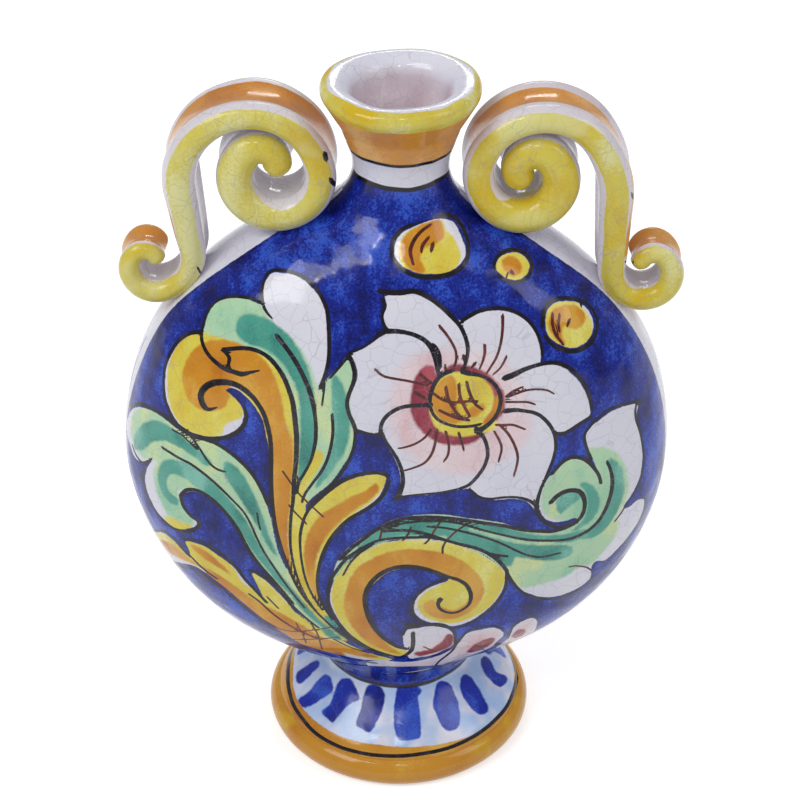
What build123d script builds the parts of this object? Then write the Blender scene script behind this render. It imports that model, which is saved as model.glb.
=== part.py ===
from build123d import *
import math
import os

# Pilgrim flask of glazed earthenware, in millimetres. It stands on its foot at z = 0 and its
# painted front faces -Y. The flat body is a disc on edge whose axis is the Y axis.

# Flat body, pressed in two halves that meet in the plane y = 0
body_radius = 72.6
body_half_thickness = 36.5
rim_radius = 30.0
body_wall = 5.0
body_lift = 22.6
seam_coil_radius = 4.0

# Neck and lip, thrown together and set a little to the right of the body's middle
neck_shift = 1.2
bore_radius = 9.2
neck_waist_radius = 11.9
neck_waist_height = 8.6
neck_top_height = 21.4
neck_root_depth = 10.0
neck_luting_reach = 9.0
neck_luting_height = 7.5
lip_height = 10.8
lip_bead_radius = 2.9
lip_bead_track = 17.2
lip_flare = 31.0
mouth_slope = 30.0

# Foot
foot_shift = 0.6
foot_wall = 5.0
foot_ring_track = 32.8
foot_ring_bead = 4.7
foot_ring_flat = 0.5
foot_edge_radius = 34.6
foot_edge_height = 7.5
foot_waist_radius = 19.8
foot_waist_drop = 1.35
foot_flare_radius = 27.2
foot_flare_height = 15.6
foot_head_height = 36.0
foot_luting_turn = 63.0
foot_luting_drop = 1.0
foot_luting_bury = 1.0

# Handles: one rolled strap each, thick at its two edges and hollowed along its middle
strap_width = 19.6
curl_width = 14.0
strap_channel = 0.8
slip_gap = 0.4
seat_press = 1.5
scroll_luting_radius = 6.0
leg_luting_radius = 6.5
luting_rise = 2.0
luting_inset = 3.0

# Left strap, from its small curl up the leg, over the crown and into the large scroll
left_strap_thickness = 7.8
left_curl_thickness = 5.6
left_curl_tip_radius = 3.3
left_curl_radius = 6.6
left_heel_radius = 11.7
left_leg_length = 17.5
left_knee_radius = 18.5
left_crown_radius = 16.8
left_seat_radius = 11.1
left_scroll_radius = 10.0
left_eye_radius = 4.6
left_neck_gap = 3.75
left_leg_lean = 7.0
left_curl_turns = (77.0, 152.0, 108.5)
left_scroll_turns = (88.5, 96.5, 104.5, 121.5, 132.5)

# Right strap, rolled the other way round and a little looser
right_strap_thickness = 8.2
right_curl_thickness = 6.2
right_curl_tip_radius = 3.6
right_curl_radius = 7.1
right_heel_radius = 9.8
right_leg_length = 19.8
right_knee_radius = 28.0
right_crown_radius = 16.3
right_seat_radius = 12.9
right_scroll_radius = 9.6
right_eye_radius = 4.8
right_neck_gap = 2.9
right_leg_lean = 0.0
right_curl_turns = (61.0, 168.5, 105.5)
right_scroll_turns = (34.0, 121.5, 77.5, 170.0, 160.0)

# Places that follow from the sizes
body_centre_z = body_lift + body_radius
body_top_z = body_centre_z + body_radius
foot_seam_z = body_centre_z - math.sqrt(body_radius**2 - foot_waist_radius**2)
foot_waist_z = foot_seam_z - foot_waist_drop
neck_waist_z = body_top_z + neck_waist_height
neck_top_z = body_top_z + neck_top_height
object_height = neck_top_z + lip_height
neck_axis = Axis((neck_shift, 0, 0), (0, 0, 1))
foot_axis = Axis((foot_shift, 0, 0), (0, 0, 1))


def body_blank(inset):
    """Solid disc with a rounded rim and domed faces, its skin this far inside the body's."""
    rim = rim_radius - inset
    rim_centre = body_radius - rim_radius
    thickness_rise = body_half_thickness - rim_radius
    dome = (rim_centre**2 + body_half_thickness**2 - rim_radius**2) / (2 * thickness_rise)
    dome_centre = body_half_thickness - dome
    join = math.atan2(-dome_centre, rim_centre)
    rim_middle = (rim_centre + rim * math.cos(join / 2), rim * math.sin(join / 2))
    tangent = (rim_centre + rim * math.cos(join), rim * math.sin(join))
    face_turn = (join + math.pi / 2) / 2
    face_radius = dome - inset
    face_middle = (face_radius * math.cos(face_turn), dome_centre + face_radius * math.sin(face_turn))
    pole = (0, body_half_thickness - inset)
    with BuildSketch(Plane.XY) as outline:
        with BuildLine():
            ThreePointArc((body_radius - inset, 0), rim_middle, tangent)
            ThreePointArc(tangent, face_middle, pole)
            Line(pole, (0, 0))
            Line((0, 0), (body_radius - inset, 0))
        make_face()
    half = revolve(outline.sketch, Axis.Y, 360)
    return Pos(0, 0, body_centre_z) * (half + mirror(half, Plane.XZ))


def front_of(solid):
    """The half of a solid that lies in front of the seam."""
    reach = object_height
    return solid & Pos(0, -reach / 2, reach / 2) * Box(2 * reach, reach, 2 * reach)


def turned(points, axis, axis_x):
    """Solid of revolution about an upright axis, from the straight edges between (radius, z) points."""
    with BuildSketch(Plane.XZ) as outline:
        with BuildLine():
            Polyline([(axis_x + radius, z) for radius, z in points], close=True)
        make_face()
    return revolve(outline.sketch, axis, 360)


def make_shells():
    """Front and back halves of the body, with the hole that the neck stands over."""
    bore = Pos(neck_shift, 0, body_top_z) * Cylinder(bore_radius, 4 * body_wall)
    hollow = body_blank(0) - body_blank(body_wall) - bore
    front = front_of(hollow)
    return front, hollow - front


def make_seam_coil():
    """Clay worked into the seam from the inside, left open under the neck."""
    coil_track = body_radius - body_wall
    coil = Pos(0, 0, body_centre_z) * Rot(90, 0, 0) * Torus(coil_track, seam_coil_radius)
    passage_radius = bore_radius + seam_coil_radius / 2
    passage = Pos(neck_shift, 0, body_top_z) * Cylinder(passage_radius, 4 * body_wall)
    return (coil & body_blank(body_wall)) - passage


def lip_flare_foot():
    """Where the lip's outside starts: the point of the bead whose tangent leans out by the flare."""
    flare = math.radians(lip_flare)
    bead_z = object_height - lip_bead_radius
    bead_side = (lip_bead_track + lip_bead_radius * math.cos(flare), bead_z - lip_bead_radius * math.sin(flare))
    run = (bead_side[1] - neck_top_z) * math.tan(flare)
    return bead_side, (bead_side[0] - run, neck_top_z)


def make_neck():
    """Neck tube: a waisted outside, a straight bore, and a lower end cut to the body's shoulder."""
    top = lip_flare_foot()[1]
    waist = (neck_waist_radius, neck_waist_z)
    middle_z = (neck_waist_z + neck_top_z) / 2
    middle_radius = neck_waist_radius + (top[0] - neck_waist_radius) / 4
    root = (neck_waist_radius, body_top_z - neck_root_depth)
    with BuildSketch(Plane.XZ) as outline:
        with BuildLine():
            Line((neck_shift + root[0], root[1]), (neck_shift + waist[0], waist[1]))
            ThreePointArc(
                (neck_shift + waist[0], waist[1]),
                (neck_shift + middle_radius, middle_z),
                (neck_shift + top[0], top[1]),
            )
            Line((neck_shift + top[0], top[1]), (neck_shift + bore_radius, neck_top_z))
            Line((neck_shift + bore_radius, neck_top_z), (neck_shift + bore_radius, root[1]))
            Line((neck_shift + bore_radius, root[1]), (neck_shift + root[0], root[1]))
        make_face()
    return revolve(outline.sketch, neck_axis, 360) - body_blank(0)


def make_neck_luting():
    """Slip that flares from the neck onto the shoulders."""
    inner = neck_waist_radius
    outer = neck_waist_radius + neck_luting_reach
    low = body_top_z - neck_root_depth
    high = body_top_z + neck_luting_height
    bend_radius = inner + neck_luting_reach / 4
    bend_z = body_top_z + neck_luting_height / 4
    edge_z = body_top_z - neck_root_depth / 2
    with BuildSketch(Plane.XZ) as outline:
        with BuildLine():
            ThreePointArc(
                (neck_shift + inner, high), (neck_shift + bend_radius, bend_z), (neck_shift + outer, edge_z)
            )
            Line((neck_shift + outer, edge_z), (neck_shift + outer, low))
            Line((neck_shift + outer, low), (neck_shift + inner, low))
            Line((neck_shift + inner, low), (neck_shift + inner, high))
        make_face()
    return revolve(outline.sketch, neck_axis, 360) - body_blank(0)


def make_lip():
    """Rolled lip: a flared outside, a round bead on top and a mouth that slopes into the bore."""
    slope = math.radians(mouth_slope)
    flare = math.radians(lip_flare)
    bead_z = object_height - lip_bead_radius
    bead_side, foot = lip_flare_foot()
    inside = (lip_bead_track - lip_bead_radius * math.cos(slope), bead_z + lip_bead_radius * math.sin(slope))
    middle_turn = (math.pi - slope - flare) / 2
    crest = (
        lip_bead_track + lip_bead_radius * math.cos(middle_turn),
        bead_z + lip_bead_radius * math.sin(middle_turn),
    )
    with BuildSketch(Plane.XZ) as outline:
        with BuildLine():
            Line((neck_shift + foot[0], foot[1]), (neck_shift + bead_side[0], bead_side[1]))
            ThreePointArc(
                (neck_shift + bead_side[0], bead_side[1]),
                (neck_shift + crest[0], crest[1]),
                (neck_shift + inside[0], inside[1]),
            )
            Line((neck_shift + inside[0], inside[1]), (neck_shift + bore_radius, neck_top_z))
            Line((neck_shift + bore_radius, neck_top_z), (neck_shift + foot[0], foot[1]))
        make_face()
    return revolve(outline.sketch, neck_axis, 360)


def foot_ring_blank():
    """Rolled ring with a narrow flat underneath."""
    bead_z = foot_ring_bead - foot_ring_flat
    ring = Pos(foot_shift, 0, bead_z) * Torus(foot_ring_track, foot_ring_bead)
    table = Pos(foot_shift, 0, -foot_ring_bead) * Cylinder(2 * foot_ring_track, 2 * foot_ring_bead)
    return ring - table


def make_foot_cone():
    """Hollow splayed foot, seated on the ring below and cut to the body above."""
    outer_waist = (foot_shift + foot_waist_radius, foot_waist_z)
    outer_middle = (foot_shift + foot_flare_radius, foot_flare_height)
    outer_edge = (foot_shift + foot_edge_radius, foot_edge_height)
    drop = foot_wall / math.sqrt(2)
    inner_waist = (outer_waist[0] - foot_wall, foot_waist_z - drop / 2)
    inner_middle = (outer_middle[0] - drop, foot_flare_height - drop)
    inner_edge = (outer_edge[0] - foot_wall, foot_edge_height - drop / 2)
    with BuildSketch(Plane.XZ) as outline:
        with BuildLine():
            Line((outer_waist[0], foot_head_height), outer_waist)
            ThreePointArc(outer_waist, outer_middle, outer_edge)
            Line(outer_edge, inner_edge)
            ThreePointArc(inner_edge, inner_middle, inner_waist)
            Line(inner_waist, (inner_waist[0], foot_head_height))
            Line((inner_waist[0], foot_head_height), (outer_waist[0], foot_head_height))
        make_face()
    return revolve(outline.sketch, foot_axis, 360) - body_blank(0) - foot_ring_blank()


def make_foot_luting():
    """Slip that joins the foot's waist to the underside of the body."""
    turn = math.radians(foot_luting_turn)
    buried_radius = rim_radius - foot_luting_bury
    outer_radius = buried_radius * math.sin(turn)
    high_z = body_lift + rim_radius - buried_radius * math.cos(turn)
    low_z = foot_seam_z - foot_luting_drop
    collar = turned(
        (
            (foot_waist_radius, low_z),
            (outer_radius, high_z),
            (foot_waist_radius, high_z),
        ),
        foot_axis,
        foot_shift,
    )
    return collar - body_blank(0)


def strap_section(width, thickness, place):
    """Cross-section of a strap: two round edges joined by a web that is hollowed on both faces."""
    edge = thickness / 2
    half_web = width / 2 - edge
    web = edge - strap_channel
    with BuildSketch(place) as section:
        with BuildLine():
            ThreePointArc((half_web, -edge), (half_web + edge, 0), (half_web, edge))
            ThreePointArc((half_web, edge), (0, web), (-half_web, edge))
            ThreePointArc((-half_web, edge), (-half_web - edge, 0), (-half_web, -edge))
            ThreePointArc((-half_web, -edge), (0, -web), (half_web, -edge))
        make_face()
    return section.sketch


def strap_plane(point, heading):
    """Plane square to the strap where it passes a point of the XZ plane."""
    along = (math.cos(math.radians(heading)), 0, math.sin(math.radians(heading)))
    return Plane(origin=(point[0], 0, point[1]), x_dir=(0, 1, 0), z_dir=along)


def bend_centre(point, heading, radius):
    """Centre of a bend, to the right of the heading."""
    normal = math.radians(heading - 90)
    return (point[0] + radius * math.cos(normal), point[1] + radius * math.sin(normal))


def bend_end(point, heading, radius, turn):
    """Point and heading after a bend through an angle."""
    centre = bend_centre(point, heading, radius)
    side = math.radians(heading + 90 - turn)
    return (centre[0] + radius * math.cos(side), centre[1] + radius * math.sin(side)), heading - turn


def follow_bends(point, heading, radii, turns, width, thickness):
    """Bends of the strap one after another, each revolved about its centre, then a round end."""
    pieces = []
    centres = []
    for radius, turn in zip(radii, turns):
        centre = bend_centre(point, heading, radius)
        axis = Axis((centre[0], 0, centre[1]), (0, 1, 0))
        section = strap_section(width, thickness, strap_plane(point, heading))
        pieces.append(revolve(section, axis, turn))
        centres.append(centre)
        point, heading = bend_end(point, heading, radius, turn)
    place = strap_plane(point, heading)
    left_half = place * Pos(0, thickness / 2) * Rectangle(2 * width, thickness)
    end_section = strap_section(width, thickness, place) & left_half
    pieces.append(revolve(end_section, Axis((point[0], 0, point[1]), (0, 1, 0)), 180))
    return pieces, centres


def make_strap(sizes, start):
    """Strap with a tapered leg, its crown and scroll above it and its small curl below it."""
    thickness = sizes["thickness"]
    curl_thickness = sizes["curl_thickness"]
    heading = 90 + sizes["lean"]
    rise = math.radians(heading)
    top = (start[0] + sizes["leg"] * math.cos(rise), start[1] + sizes["leg"] * math.sin(rise))
    leg_foot = strap_section(curl_width, curl_thickness, strap_plane(start, heading))
    leg_top = strap_section(strap_width, thickness, strap_plane(top, heading))
    strap = loft([leg_foot.face(), leg_top.face()], ruled=True)
    scroll, scroll_centres = follow_bends(
        top, heading, sizes["scroll_radii"], sizes["scroll_turns"], strap_width, thickness
    )
    curl, curl_centres = follow_bends(
        start, heading - 180, sizes["curl_radii"], sizes["curl_turns"], curl_width, curl_thickness
    )
    for piece in scroll + curl:
        strap = strap + piece
    return strap, curl_centres[0]


def seat_bend_offset(sizes):
    """Centre of the bend that rests on the shoulder, from the lower end of the leg."""
    heading = 90 + sizes["lean"]
    rise = math.radians(heading)
    point = (sizes["leg"] * math.cos(rise), sizes["leg"] * math.sin(rise))
    for radius, turn in zip(sizes["scroll_radii"][:2], sizes["scroll_turns"][:2]):
        point, heading = bend_end(point, heading, radius, turn)
    return bend_centre(point, heading, sizes["scroll_radii"][2])


def left_sizes():
    """Sizes of the left strap, in the order in which it is followed."""
    return {
        "thickness": left_strap_thickness,
        "curl_thickness": left_curl_thickness,
        "leg": left_leg_length,
        "lean": left_leg_lean,
        "neck_side": neck_waist_radius - neck_shift + left_neck_gap,
        "scroll_radii": (
            left_knee_radius,
            left_crown_radius,
            left_seat_radius,
            left_scroll_radius,
            left_eye_radius,
        ),
        "scroll_turns": left_scroll_turns,
        "curl_radii": (left_heel_radius, left_curl_radius, left_curl_tip_radius),
        "curl_turns": left_curl_turns,
    }


def right_sizes():
    """Sizes of the right strap, which is built as a left one and mirrored."""
    return {
        "thickness": right_strap_thickness,
        "curl_thickness": right_curl_thickness,
        "leg": right_leg_length,
        "lean": right_leg_lean,
        "neck_side": neck_waist_radius + neck_shift + right_neck_gap,
        "scroll_radii": (
            right_knee_radius,
            right_crown_radius,
            right_seat_radius,
            right_scroll_radius,
            right_eye_radius,
        ),
        "scroll_turns": right_scroll_turns,
        "curl_radii": (right_heel_radius, right_curl_radius, right_curl_tip_radius),
        "curl_turns": right_curl_turns,
    }


def seat_point(centre, reach):
    """Point of the body's rim under a bend, moved out from the rim by the reach."""
    lean = math.atan2(centre[0], centre[1] - body_centre_z)
    radius = body_radius + reach
    return (radius * math.sin(lean), body_centre_z + radius * math.cos(lean))


def luting(centre, radius, width, strap):
    """Slip between a bend of the strap and the shoulder that it rests on."""
    point = seat_point(centre, slip_gap)
    roll = Pos(point[0], 0, point[1]) * Rot(90, 0, 0) * Cylinder(radius, width - 2 * luting_inset)
    return (roll & body_blank(-luting_rise)) - body_blank(0) - strap


def make_handle(sizes):
    """Strap seated on the left shoulder clear of the neck, with the slip under its scroll and its leg."""
    seat_reach = sizes["scroll_radii"][2] + sizes["thickness"] / 2
    seat_radius = body_radius + slip_gap + seat_reach - seat_press
    seat_side = sizes["neck_side"] + seat_reach
    seat_centre = (-seat_side, body_centre_z + math.sqrt(seat_radius**2 - seat_side**2))
    offset = seat_bend_offset(sizes)
    start = (seat_centre[0] - offset[0], seat_centre[1] - offset[1])
    strap, heel_centre = make_strap(sizes, start)
    strap = strap - body_blank(-slip_gap)
    scroll_slip = luting(seat_centre, scroll_luting_radius, strap_width, strap)
    leg_slip = luting(heel_centre, leg_luting_radius, curl_width, strap)
    return strap, scroll_slip, leg_slip


def write(name, shape):
    """One file for each piece."""
    export_step(shape, os.path.join("parts", name + ".step"))


os.makedirs("parts", exist_ok=True)

front_shell, back_shell = make_shells()
write("front_shell", front_shell)
write("back_shell", back_shell)
write("inner_seam_coil", make_seam_coil())

write("neck_tube", make_neck())
write("neck_luting", make_neck_luting())
write("lip_roll", make_lip())

write("foot_cone", make_foot_cone())
write("foot_ring", foot_ring_blank())
write("foot_luting", make_foot_luting())

left_handle, left_scroll_luting, left_leg_luting = make_handle(left_sizes())
write("left_handle", left_handle)
write("left_scroll_luting", left_scroll_luting)
write("left_leg_luting", left_leg_luting)

right_pieces = [mirror(piece, Plane.YZ) for piece in make_handle(right_sizes())]
for name, piece in zip(("right_handle", "right_scroll_luting", "right_leg_luting"), right_pieces):
    write(name, piece)
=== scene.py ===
import bpy
import bmesh
import math
import numpy as np
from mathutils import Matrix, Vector


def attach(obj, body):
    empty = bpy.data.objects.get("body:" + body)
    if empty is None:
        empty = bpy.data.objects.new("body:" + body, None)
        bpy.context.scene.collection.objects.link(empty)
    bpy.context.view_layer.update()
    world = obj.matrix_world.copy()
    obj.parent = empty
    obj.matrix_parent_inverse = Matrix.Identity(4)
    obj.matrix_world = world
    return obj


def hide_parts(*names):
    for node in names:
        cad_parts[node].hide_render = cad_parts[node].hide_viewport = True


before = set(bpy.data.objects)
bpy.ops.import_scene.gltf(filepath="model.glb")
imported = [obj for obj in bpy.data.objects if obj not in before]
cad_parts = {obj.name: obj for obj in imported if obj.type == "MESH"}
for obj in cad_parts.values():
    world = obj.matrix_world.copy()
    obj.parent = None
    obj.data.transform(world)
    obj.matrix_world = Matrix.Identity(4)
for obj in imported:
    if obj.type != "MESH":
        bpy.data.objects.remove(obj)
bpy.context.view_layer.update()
print("frame loaded")

# lengths in the dictionaries are millimetres, the meshes are in metres
mm = 0.001
photoSize = 800

# camera that the outline of lip, body and foot was fitted to
viewpoint = {"place": (2.14, -470.86, 425.22), "pitch": 34.131, "yaw": -0.142, "lens": 96.4, "sensor": 36.0}


def setCamera():
    data = bpy.data.cameras.new("camera")
    data.lens = viewpoint["lens"]
    data.sensor_width = viewpoint["sensor"]
    data.clip_start = 0.01
    camera = bpy.data.objects.new("camera", data)
    bpy.context.scene.collection.objects.link(camera)
    camera.location = Vector(viewpoint["place"]) * mm
    camera.rotation_euler = (math.radians(90 - viewpoint["pitch"]), 0, math.radians(-viewpoint["yaw"]))
    bpy.context.scene.camera = camera
    bpy.context.scene.view_settings.view_transform = "Standard"


setCamera()

# the round body: a disc on edge, its rim one arc and each face another
body = {"radius": 72.6, "halfThickness": 36.5, "rim": 30.0, "centreZ": 95.2, "wall": 5.0,
        "cells": 308, "innerCells": 60, "backCells": 150, "flat": 1e-6}
body["track"] = body["radius"] - body["rim"]
body["dome"] = (body["track"]**2 + body["halfThickness"]**2 - body["rim"]**2) / (
    2 * (body["halfThickness"] - body["rim"]))
body["domeCentre"] = body["halfThickness"] - body["dome"]
body["join"] = math.atan2(body["track"], -body["domeCentre"])
body["reach"] = body["dome"] * body["join"] + body["rim"] * (math.pi / 2 - body["join"])

# neck and lip: radius and height up the outside, over the crown and down the bore
neck = {"shift": 1.2, "bore": 9.2, "blend": 12.0,
        "section": ((11.9, 150), (11.9, 173.5), (12.0, 177.0), (12.5, 180.4), (13.4, 183.1), (14.3, 185.9),
                    (15.4, 188.8), (17.0, 191.5), (18.7, 194.4), (19.8, 196.4), (20.0, 198.0), (19.2, 199.4),
                    (17.6, 200.0), (15.9, 199.9), (14.3, 199.1), (13.0, 197.9), (12.1, 196.1), (11.6, 193.8),
                    (11.0, 191.4), (10.1, 189.2), (9.4, 187.2), (9.2, 184.5), (9.2, 161.0)),
        "crownMark": 13, "tubeMarks": 8, "lipMark": 6, "tubeGap": 0.55, "lipGap": 0.5, "steps": 176,
        "sunkBelow": 186, "cutInside": 1.2, "cutAbove": 150, "boreRoom": 0.5}
neck["waist"] = neck["section"][0][0]

# hollow foot: radius and height down its outside, then up its inside
foot = {"shift": 0.6, "waist": 19.8, "blend": 6.5, "slant": 0.8,
        "outside": ((19.8, 36.0), (19.8, 26.5), (20.1, 23.6), (21.5, 21.0), (24.0, 18.3), (27.2, 15.6),
                    (30.6, 13.0), (33.2, 10.6), (34.4, 8.2)),
        "inside": ((31.0, 6.0), (27.3, 9.0), (23.7, 12.1), (19.2, 16.3), (15.6, 20.5), (14.8, 25.0),
                   (14.8, 34.0)),
        "gap": 0.6, "steps": 220, "sunkAbove": 20.5, "sunkRoom": 1, "cutInside": 1.2, "cutBelow": 45}

# the skins of neck and foot lie this far under the body's where they run into it
underSkin = -0.03


# distance along a line at each of its points
def runAlong(line):
    return np.concatenate([[0], np.cumsum(np.linalg.norm(np.diff(line, axis=0), axis=1))])


# evenly spaced points on a smooth curve through the marks
def smoothLine(marks, gap, closed=False, steps=12):
    marks = np.array(marks, float)
    if closed:
        ends = np.vstack([marks[-1:], marks, marks[:2]])
    else:
        ends = np.vstack([2 * marks[:1] - marks[1:2], marks, 2 * marks[-1:] - marks[-2:-1]])
    t = np.linspace(0, 1, steps, endpoint=False)[:, None]
    runs = []
    for i in range(len(ends) - 3):
        a, b, c, d = ends[i:i + 4]
        bend = (2 * a - 5 * b + 4 * c - d) * t**2 + (3 * b - a - 3 * c + d) * t**3
        runs.append(0.5 * (2 * b + (c - a) * t + bend))
    line = np.vstack(runs + [ends[-2:-1]])
    along = runAlong(line)
    count = max(4, int(round(along[-1] / gap)) + 1)
    even = np.linspace(0, along[-1], count)
    return np.stack([np.interp(even, along, line[:, k]) for k in range(line.shape[1])], 1)


# distance from the plain body's skin, outwards
def bodyGap(p):
    rho = np.hypot(p[:, 0], p[:, 2] - body["centreZ"])
    y = np.abs(p[:, 1])
    turn = np.arctan2(rho, y - body["domeCentre"])
    onDome = np.hypot(rho, y - body["domeCentre"]) - body["dome"]
    onRim = np.hypot(rho - body["track"], y) - body["rim"]
    return np.where(turn < body["join"], onDome, onRim)


outlineGap = 0.4
neckLine = smoothLine(neck["section"][:neck["crownMark"]], outlineGap)
footLine = smoothLine(foot["outside"][::-1], outlineGap)


def fromAxis(p, shift):
    return np.hypot(p[:, 0] - shift, p[:, 1])


def neckGap(p):
    return fromAxis(p, neck["shift"]) - np.interp(p[:, 2], neckLine[:, 1], neckLine[:, 0])


def footGap(p):
    return (fromAxis(p, foot["shift"]) - np.interp(p[:, 2], footLine[:, 1], footLine[:, 0])) * foot["slant"]


def blended(a, b, width):
    h = np.clip(width - np.abs(a - b), 0, None) / width
    return np.minimum(a, b) - h * h * width / 4


# distance from the pot's skin with the slip that softens the neck's and the foot's seams
def potGap(p):
    low = blended(bodyGap(p), footGap(p), foot["blend"])
    return np.where(p[:, 2] > body["centreZ"], blended(bodyGap(p), neckGap(p), neck["blend"]), low)


# how the distance from the skin changes along x, y and z
def skinSlope(p, step=0.05):
    return np.stack([(potGap(p + step * e) - potGap(p - step * e)) / (2 * step) for e in np.eye(3)], 1)


# points moved straight onto the pot's skin
def settle(p, target, rounds=5, leastSlope=0.2):
    for _ in range(rounds):
        slope = skinSlope(p)
        p = p - ((potGap(p) - target) / np.maximum((slope**2).sum(1), leastSlope))[:, None] * slope
    return p


# finger dents in the soft clay: centre, width, depth
dents = {"wave": 0.22, "waveLength": 42, "waveSeed": 3, "calmAtNeck": 14, "calmAtFoot": 8,
         "marks": (((-28, -30, 141), 7.5, 0.9), ((-15, -27, 150), 6.0, 0.9), ((-41, -24, 131), 7.0, 0.6),
                   ((30, -31, 138), 8.0, 0.5), ((52, -26, 112), 9.0, 0.45), ((-60, -18, 90), 9.0, 0.4),
                   ((8, -30, 147), 6.0, 0.5), ((-12, -22, 160), 5.5, 0.6), ((-21, -26, 150), 4.5, -0.4),
                   ((-6, -27, 153), 4.5, 0.5), ((16, -25, 155), 6.0, 0.5), ((40, -26, 135), 6.0, -0.3))}

waves = {"count": 9, "slowest": 0.6, "quickest": 1.5, "anyPhase": 6.28, "height": 4}


# slow unevenness of hand-shaped clay, between about -1 and 1
def handWave(p, length, seed):
    draws = np.random.RandomState(seed)
    total = np.zeros(len(p))
    for _ in range(waves["count"]):
        way = draws.normal(size=3)
        pace = draws.uniform(waves["slowest"], waves["quickest"]) * 2 * math.pi / length
        way = way / np.linalg.norm(way) * pace
        total += np.sin(p @ way + draws.uniform(0, waves["anyPhase"]))
    return total / waves["height"]


# how far the hand-made skin stands off the true one
def skinShift(p):
    shift = dents["wave"] * (handWave(p, dents["waveLength"], dents["waveSeed"]) - 1)
    for place, width, depth in dents["marks"]:
        shift = shift - depth * np.exp(-((p - np.array(place))**2).sum(1) / width**2)
    return shift


# the settled skin with its unevenness, less of it close to the neck and the foot
def pushedIn(p):
    slope = skinSlope(p)
    slope = slope / np.linalg.norm(slope, axis=1)[:, None]
    calm = np.clip(neckGap(p) / dents["calmAtNeck"], 0, 1) * np.clip(footGap(p) / dents["calmAtFoot"], 0, 1)
    return p + slope * (skinShift(p) * calm)[:, None]


def readPoints(mesh):
    flat = np.zeros(len(mesh.vertices) * 3)
    mesh.vertices.foreach_get("co", flat)
    return flat.reshape(-1, 3)


def placePoints(mesh, p):
    mesh.vertices.foreach_set("co", (p * mm).ravel())
    mesh.update()


def storeValue(mesh, name, values):
    layer = mesh.attributes.new(name, "FLOAT", "POINT")
    layer.data.foreach_set("value", np.asarray(values, np.float32))


def readValues(mesh, name):
    values = np.zeros(len(mesh.vertices))
    mesh.attributes[name].data.foreach_get("value", values)
    return values


def newPiece(name, bm, smooth=True):
    mesh = bpy.data.meshes.new(name)
    bm.to_mesh(mesh)
    bm.free()
    piece = bpy.data.objects.new(name, mesh)
    bpy.context.scene.collection.objects.link(piece)
    if smooth:
        mesh.polygons.foreach_set("use_smooth", [True] * len(mesh.polygons))
    return piece


# spots of a square grid pulled into a disc of radius 1
def discSpots(flat):
    x, y = flat[:, 0], flat[:, 1]
    u = x * np.sqrt(np.clip(1 - y * y / 2, 0, 1))
    v = y * np.sqrt(np.clip(1 - x * x / 2, 0, 1))
    return u, v


# points of one face of the body from unrolled shares, its skin this far inside
def domeSpots(u, v, inset, side):
    share = np.hypot(u, v)
    angle = np.arctan2(v, u)
    run = share * body["reach"]
    domeRun = body["dome"] * body["join"]
    onDome = run < domeRun
    turn = np.where(onDome, run / body["dome"], body["join"] + (run - domeRun) / body["rim"])
    dome, rim = body["dome"] - inset, body["rim"] - inset
    rho = np.where(onDome, dome * np.sin(turn), body["track"] + rim * np.sin(turn))
    y = np.where(onDome, body["domeCentre"] + dome * np.cos(turn), rim * np.cos(turn))
    x, z = rho * np.cos(angle), body["centreZ"] + rho * np.sin(angle)
    return np.stack([x, side * np.clip(y, 0, None), z], 1)


# points of the skin that neck and foot cover
def throughHole(p):
    atNeck = (fromAxis(p, neck["shift"]) < neck["waist"] - neck["cutInside"]) & (p[:, 2] > neck["cutAbove"])
    atFoot = (fromAxis(p, foot["shift"]) < foot["waist"] - foot["cutInside"]) & (p[:, 2] < foot["cutBelow"])
    return atNeck | atFoot


def deletePoints(bm, gone):
    bm.verts.ensure_lookup_table()
    bmesh.ops.delete(bm, geom=[bm.verts[i] for i in np.nonzero(gone)[0]], context="VERTS")


# one pressed half of the body: a fine outer skin, a plain inner one and the seam's edge between them
def makeHalf(name, side, cells):
    bm = bmesh.new()
    bmesh.ops.create_grid(bm, x_segments=cells, y_segments=cells, size=1)
    half = newPiece(name, bm)
    mesh = half.data
    u, v = discSpots(readPoints(mesh))
    p = domeSpots(u, v, 0, side)
    covered = throughHole(p)
    keptEdge = np.abs(p[:, 1]) < body["flat"]
    p = pushedIn(settle(p, 0.0))
    p[keptEdge, 1] = 0
    placePoints(mesh, p)
    storeValue(mesh, "unrolledX", u * body["reach"])
    storeValue(mesh, "unrolledY", v * body["reach"])
    storeValue(mesh, "outerSkin", np.ones(len(u)))
    bm = bmesh.new()
    bm.from_mesh(mesh)
    deletePoints(bm, covered)
    # the flat edge of the wall, where the halves meet
    seam = [e for e in bm.edges if e.is_boundary and max(abs(v.co.y) for v in e.verts) < body["flat"]]
    edge = bmesh.ops.extrude_edge_only(bm, edges=seam)["geom"]
    inner = (body["radius"] - body["wall"]) / body["radius"]
    middle = Vector((0, 0, body["centreZ"] * mm))
    for vert in [g for g in edge if isinstance(g, bmesh.types.BMVert)]:
        vert.co = middle + (vert.co - middle) * inner
    if side > 0:
        bmesh.ops.reverse_faces(bm, faces=bm.faces[:])
    bm.to_mesh(mesh)
    bm.free()
    addInnerSkin(mesh, side)
    mesh.polygons.foreach_set("use_smooth", [True] * len(mesh.polygons))
    return half


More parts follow.
